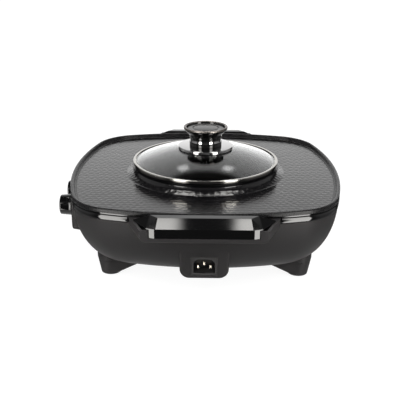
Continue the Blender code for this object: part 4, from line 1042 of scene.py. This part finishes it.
def add_glass():
    """Domed glass with a flat rounded edge, and level round the bore for the grip's screw."""
    level_radius = 0.025
    radii = np.linspace(lid_bore, dome_radius, 60)
    heights = np.minimum(glass_height(radii), glass_height(level_radius))
    top = list(zip(radii, heights))
    low = glass_edge_z - glass_wall
    edge = [(dome_radius, glass_edge_z), (glass_edge, glass_edge_z), (glass_edge, low), (dome_radius, low)]
    under = list(zip(radii, heights - glass_wall))[::-1]
    profile = [*top, *rounded_path(edge, 0.001, 5), *under]
    lathe("lid_dome", profile, "lid_glass_clear", "lid", ["lid_glass"], 256, True)


def add_band():
    """Steel band rolled round the glass's edge, with the skirt that drops into the collar."""
    low, high = rim_low.z + 0.005, rim_high.z
    hem, outside, skirt, sheet = 0.0902, 0.0936, 0.0873, 0.0006
    section = [
        (hem, high - 0.0001, 0.0003),
        (outside, high, 0.001),
        (outside, low, 0.0017),
        (skirt, low, 0.0006),
        (skirt, rim_low.z, 0.0002),
        (skirt - sheet, rim_low.z, 0.0002),
        (skirt - sheet, low + sheet, 0.0006),
        (outside - sheet, low + sheet, 0.0012),
        (outside - sheet, high - sheet, 0.0012),
        (hem, high - sheet, 0.0002),
    ]
    path = rounded_path(section, 0.0006, 6, closed=True)
    lathe("lid_band", path, "rim_steel", "lid", ["lid_rim"], 256, True, 50)


def add_disc():
    """Polished disc under the grip: flat, with its edge turned down to the glass."""
    low, high = disc_low.z, disc_high.z
    radius, sheet = 0.0355, 0.0008
    section = [
        (lid_bore, high, 0.0001),
        (radius, high, 0.0012),
        (radius, low, 0.0002),
        (radius - sheet, low, 0.0002),
        (radius - sheet, high - sheet, 0.0006),
        (lid_bore, high - sheet, 0.0001),
    ]
    path = rounded_path(section, 0.0004, 6, closed=True)
    lathe("knob_disc", path, "disc_steel", "lid", ["lid_disc"], 256, True, 50)


def add_grip_spool():
    """Spool-shaped grip: a base flange, a steel-finished ring in its waist, a straight neck, a cone out
    to a round-edged bead, and the dished inside of that bead down to the seat of the cap."""
    low = grip_low.z
    waist_low, waist_high = 0.0053, 0.0081
    cap_seat = 0.0205
    profile = [
        (0, 0.012, 0),
        (lid_bore, 0.012, 0),
        (lid_bore, 0, 0),
        (0.0207, 0, 0.0003),
        (0.0208, 0.0050, 0.0003),
        (0.0198, waist_low, 0.0001),
        (0.0193, waist_high, 0.0001),
        (0.0205, 0.0086, 0.0003),
        (0.0213, 0.0146, 0.0020),
        (0.0272, 0.0204, 0.0016),
        (0.0283, 0.0226, 0.0010),
        (0.0280, 0.0243, 0.0008),
        (0.0256, 0.0245, 0.0009),
        (0.0246, 0.0232, 0.0004),
        (0.0242, 0.0220, 0.0002),
        (0.0242, cap_seat, 0.0001),
        (0, cap_seat, 0),
    ]
    path = rounded_path(profile, 0.001, 7) + np.array([0, low])
    spool = lathe("grip_spool", path, "grip_black", "lid", ["lid_knob"])
    spool.data.materials.append(finishes["satin_bead_grey"])
    spool.data.materials.append(finishes["disc_steel"])
    centres = np.array([face.center for face in spool.data.polygons])
    reach = np.hypot(centres[:, 0] - pot_x, centres[:, 1])
    height = centres[:, 2] - low
    bead = (height > 0.0218) & (reach > 0.0249)
    ring = (height > waist_low - 0.0002) & (height < waist_high + 0.0002) & (reach > 0.019) & (reach < 0.0199)
    spool.data.polygons.foreach_set("material_index", (bead + 2 * ring).astype(np.int32))


def add_grip_cap():
    """Flat cap sunk in the grip, with a ring groove and a drawn-in edge."""
    low, high = cap_low.z, cap_high.z
    radius, shoulder, groove = 0.0239, 0.0008, 0.0007
    profile = [
        (0, high, 0),
        (0.0157, high, 0.00012),
        (0.0158, high - groove, 0.00008),
        (0.0169, high - groove, 0.00008),
        (0.0170, high, 0.00012),
        (radius - shoulder, high, 0.0004),
        (radius - 0.0007, high - 0.0012, 0.0001),
        (radius, low, 0.0001),
        (0, low, 0),
    ]
    lathe("grip_cap", rounded_path(profile, 0.0004, 5), "satin_cap_grey", "lid", ["lid_knob_cap"])


# Controls


def add_control_knob(name):
    """Knob turned about its own level axis: a short flared base, a plain round grip with an eased outer
    edge, and a raised pointer from the middle of the face to its upper edge."""
    low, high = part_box(f"control_knob_{name}")
    y = (low.y + high.y) / 2
    z = (low.z + high.z) / 2
    pointer_height = 0.0008
    face = high.x - low.x - pointer_height
    base, grip, taper, face_radius = 0.0141, 0.01354, 0.001, 0.0094
    profile = [
        (base, 0.0, 0.0),
        (base, 0.0018, 0.0004),
        (grip, 0.0034, 0.0008),
        (grip - taper, face, 0.0028),
        (face_radius, face, 0.0),
    ]
    face_rings = [(reach, face) for reach in np.linspace(face_radius - 0.0002, 0.0002, 40)]
    path = np.vstack([rounded_path(profile, 0.0006, 8), face_rings])
    angle = full_turn(288)
    radius = path[:, :1]
    across = np.abs(radius * np.cos(angle))
    up = radius * np.sin(angle)
    pointer = smoothstep(-0.0013, -0.0009, -across) * smoothstep(-0.0003, 0.0003, up)
    pointer = pointer * smoothstep(-0.0096, -0.0091, -radius)
    x = high.x - path[:, 1:] - pointer_height * pointer
    points = np.stack([x, y + radius * np.cos(angle), z + up], -1)
    body, node = f"{name}_knob", f"control_knob_{name}"
    skin(f"knob_{name}_turned", points, "gloss_black", body, [node], crease=45)


# Carried-over nodes, by the starts of their names

handle_screws = ["front_handle_screw", "rear_handle_screw"]
node_finishes = {
    "fixing_steel": [*handle_screws, "plate_screw", "foot_screw", "spindle", "lid_washer", "lid_screw"],
    "shield_steel": ["heat_shield"],
    "sheath_steel": ["plate_heater", "pot_heater"],
    "white_ceramic": ["plate_spacer", "thermal_fuse", "terminal_block", "thermostat"],
    "pad_rubber": ["foot_pad"],
    "gasket_silicone": ["lid_gasket"],
    "lens_red": ["pilot_lens"],
}


def finish_carried_nodes():
    """Give every CAD node that is shown as it is the finish of its kind."""
    for finish, starts in node_finishes.items():
        for name, node in frame["nodes"].items():
            if any(name.startswith(start) for start in starts):
                node.data.materials.clear()
                node.data.materials.append(finishes[finish])


# Studio


def glowing_finish(name, colour):
    """An emitter with each point's own brightness, met by reflections and not sought as a lamp."""
    material = bpy.data.materials.new(name)
    material.use_nodes = True
    material.cycles.emission_sampling = "NONE"
    tree = material.node_tree
    tree.nodes.clear()
    value = tree.nodes.new("ShaderNodeAttribute")
    value.attribute_name = "brightness"
    glow = tree.nodes.new("ShaderNodeEmission")
    glow.inputs["Color"].default_value = (*colour, 1)
    tree.links.new(value.outputs["Fac"], glow.inputs["Strength"])
    out = tree.nodes.new("ShaderNodeOutputMaterial")
    tree.links.new(glow.outputs[0], out.inputs["Surface"])
    return material


def add_card(name, directions, reach, brightness, material):
    """A studio card through a grid of directions, rows by columns by xyz, a reach away from the
    appliance's middle. It shows in reflections and through glass only, and neither lights nor shades."""
    rows, columns = brightness.shape
    row, column = np.meshgrid(np.arange(rows - 1), np.arange(columns - 1), indexing="ij")
    first = row * columns + column
    faces = np.stack([first, first + 1, first + columns + 1, first + columns], -1).reshape(-1, 4)
    middle = np.array([pot_x, 0, 0.1])
    card = put_mesh(name, directions.reshape(-1, 3) * reach + middle, faces.tolist(), material)
    values = card.data.attributes.new("brightness", "FLOAT", "POINT")
    values.data.foreach_set("value", np.maximum(brightness, 0).ravel().astype(np.float32))
    card.visible_camera = False
    card.visible_diffuse = False
    card.visible_shadow = False
    card.visible_volume_scatter = False


def compass(azimuths, elevations):
    """Grids of azimuth and elevation in degrees, and their directions: azimuth 0 towards the camera,
    positive to its right."""
    azimuth, elevation = np.meshgrid(azimuths, elevations)
    turn, rise = np.radians(azimuth), np.radians(elevation)
    level = np.cos(rise)
    directions = np.stack([np.sin(turn) * level, -np.cos(turn) * level, np.sin(rise)], -1)
    return azimuth, elevation, directions


def tent_brightness(azimuth, elevation):
    """Walls of the studio as the gloss sees them: a white sheet behind, brightest low down and ending at
    56 degrees, with two soft round lamps in it; dim side walls; a dimmer front; a grey floor; and near
    black between them. Angles are in degrees."""
    turn = np.abs(azimuth)
    sheet = smoothstep(146, 151, turn) * smoothstep(-15, -8, elevation) * (1 - smoothstep(51, 56, elevation))
    sheet = sheet * (1.45 - 0.042 * np.clip(elevation - 12, 0, 10) - 0.0105 * np.clip(elevation - 22, 0, 33))
    lamps = 2.8 * np.exp(-(((turn - 166) / 3) ** 4) - ((elevation - 48) / 3) ** 4)
    side_heights = smoothstep(-12, 5, elevation) * (1 - smoothstep(45, 56, elevation))
    sides = 0.5 * smoothstep(56, 75, turn) * (1 - smoothstep(118, 134, turn)) * side_heights
    front_heights = smoothstep(4, 14, elevation) * (1 - smoothstep(40, 52, elevation))
    ahead = 0.2 * (1 - smoothstep(45, 70, turn)) * front_heights
    beside = smoothstep(55, 80, turn) * (1 - smoothstep(125, 145, turn))
    ground_level, black_level = 0.9, 0.03
    below_all, below_side = 1 - smoothstep(-46, -34, elevation), 1 - smoothstep(-16, -10, elevation)
    ground = ground_level * below_all + 0.3 * beside * below_side
    return black_level + sheet + lamps + sides + ahead + np.minimum(ground, ground_level)


def add_tent():
    """The studio's walls and floor, all round the appliance."""
    azimuth, elevation, directions = compass(np.linspace(-180, 180, 181), np.linspace(-90, 90, 91))
    plain = glowing_finish("tent_grey", (1, 1, 1))
    add_card("studio_tent", directions, card_reach + 5, tent_brightness(azimuth, elevation), plain)


def add_strip(name, middle, level, material):
    """An upright strip of light in front, about an azimuth in degrees, soft at its sides and ends."""
    azimuth, elevation, directions = compass(middle + np.linspace(-14, 14, 29), np.linspace(-46, 36, 42))
    glow = level * (1 - smoothstep(7.5, 11.5, np.abs(azimuth - middle)))
    glow = glow * (1 - smoothstep(26, 36, elevation)) * smoothstep(-46, -38, elevation)
    add_card(name, directions, card_reach, glow, material)


def add_overhead(name, side, start, fade, material):
    """A soft box overhead at one side, on a grid of how far a direction leans to that side and to the
    back. Its inner edge draws away from the middle towards the front, and fades in over its own width."""
    across, back = np.meshgrid(np.linspace(0.0, 0.42, 85), np.linspace(-0.26, 0.46, 73))
    edge = start + np.clip(1.3 * (0.28 - back), 0, 0.15)
    glow = 13 * smoothstep(edge, edge + fade, across) * (1 - smoothstep(0.30, 0.34, across))
    glow = glow * (1 - smoothstep(0.302, 0.315, back)) * smoothstep(-0.14, -0.05, back)
    up = np.sqrt(1 - across**2 - back**2)
    add_card(name, np.stack([side * across, back, up], -1), card_reach, glow, material)


def add_cards():
    """What the gloss reflects: the tent, two bright strips in front, and two overhead soft boxes with a
    dark gap between them."""
    warm = glowing_finish("lamp_white", (1, 0.985, 0.955))
    add_tent()
    add_strip("strip_left", -39.5, 13.0, warm)
    add_strip("strip_right", 40.5, 14.0, warm)
    add_overhead("overhead_left", left, 0.028, 0.026, warm)
    add_overhead("overhead_right", right, 0.033, 0.018, warm)


def seen_rays(tree):
    """1 for what the camera, the gloss and the glass see, and 0 for light on matte surfaces."""
    path = tree.nodes.new("ShaderNodeLightPath")
    seen = reckon(tree, "MAXIMUM", path.outputs["Is Camera Ray"], path.outputs["Is Glossy Ray"])
    return reckon(tree, "MAXIMUM", seen, path.outputs["Is Transmission Ray"])


def add_world():
    """A white background where it is seen, and a softer level for the light that it gives."""
    given, shown = 0.75, 1.0
    world = bpy.data.worlds.new("studio")
    bpy.context.scene.world = world
    world.use_nodes = True
    tree = world.node_tree
    tree.nodes.clear()
    mix = tree.nodes.new("ShaderNodeMixShader")
    tree.links.new(seen_rays(tree), mix.inputs[0])
    for number, level in ((1, given), (2, shown)):
        white = tree.nodes.new("ShaderNodeBackground")
        white.inputs["Color"].default_value = (1, 1, 1, 1)
        white.inputs["Strength"].default_value = level
        tree.links.new(white.outputs[0], mix.inputs[number])
    out = tree.nodes.new("ShaderNodeOutputWorld")
    tree.links.new(mix.outputs[0], out.inputs["Surface"])


def add_softboxes():
    """Two soft lamps, in front at the left and right, that the gloss doesn't see."""
    size, power = 0.9, 7
    target = Vector((0, 0, 0.06))
    for side in (left, right):
        data = bpy.data.lights.new(f"softbox_{side}", "AREA")
        data.shape = "RECTANGLE"
        data.size = size
        data.size_y = size
        data.energy = power
        lamp = put_in_scene(f"softbox_{side}", data)
        lamp.location = (side * 0.95, -1.0, 1.15)
        lamp.rotation_euler = (target - lamp.location).to_track_quat("-Z", "Y").to_euler()
        lamp.visible_glossy = False


def add_floor():
    """Round floor: grey, to keep the object's shadow, with a glow that makes it white where seen."""
    grey, glow_level = 0.22, 0.92
    reach, corners = 8, 96
    finish = bpy.data.materials.new("studio_floor")
    finish.use_nodes = True
    tree = finish.node_tree
    shader = tree.nodes["Principled BSDF"]
    shader.inputs["Base Color"].default_value = (grey, grey, grey, 1)
    shader.inputs["Roughness"].default_value = 0.9
    shader.inputs["Specular IOR Level"].default_value = 0.0
    glow = tree.nodes.new("ShaderNodeEmission")
    tree.links.new(reckon(tree, "MULTIPLY", seen_rays(tree), glow_level), glow.inputs["Strength"])
    both = tree.nodes.new("ShaderNodeAddShader")
    tree.links.new(shader.outputs[0], both.inputs[0])
    tree.links.new(glow.outputs[0], both.inputs[1])
    tree.links.new(both.outputs[0], tree.nodes["Material Output"].inputs["Surface"])
    angle = full_turn(corners)
    edge = np.stack([reach * np.cos(angle), reach * np.sin(angle), np.zeros(corners)], -1)
    floor = put_mesh("studio_floor", edge, [list(range(corners))], finish)
    floor.visible_glossy = False


def add_camera():
    """The photograph's camera: its place, the point that it looks at, its lens and its slight tilt."""
    place = Vector((pot_x + 0.00245, -0.888, 0.3889))
    target = Vector((pot_x - 0.0068, 0, 0.05726))
    tilt = 0.0055
    data = bpy.data.cameras.new("photo_camera")
    data.sensor_width = 36
    data.lens = 64.1
    data.clip_start = 0.01
    camera = put_in_scene("photo_camera", data)
    turn = (target - place).to_track_quat("-Z", "Y").to_matrix() @ Matrix.Rotation(tilt, 3, "Z")
    camera.matrix_world = Matrix.Translation(place) @ turn.to_4x4()
    bpy.context.scene.camera = camera
    bpy.context.scene.view_settings.view_transform = "Standard"


add_camera()
add_casting()
add_bowl()
add_bracket(front, "front_bracket")
add_bracket(rear, "rear_bracket")
add_inlet_box()
add_control_box()
for corner, signs in corner_signs.items():
    add_foot(corner, *signs)
add_trim_band()
add_handle_cap(front, "front_handle")
add_handle_cap(rear, "rear_handle")
softened("inlet_socket", "inlet_black", 0.0003)
for pin in ("live", "neutral", "earth"):
    softened(f"inlet_pin_{pin}", "pin_brass", 0.0006)
add_glass()
add_band()
add_disc()
add_grip_spool()
add_grip_cap()
add_control_knob("front")
add_control_knob("rear")
finish_carried_nodes()
add_world()
add_softboxes()
add_floor()
add_cards()
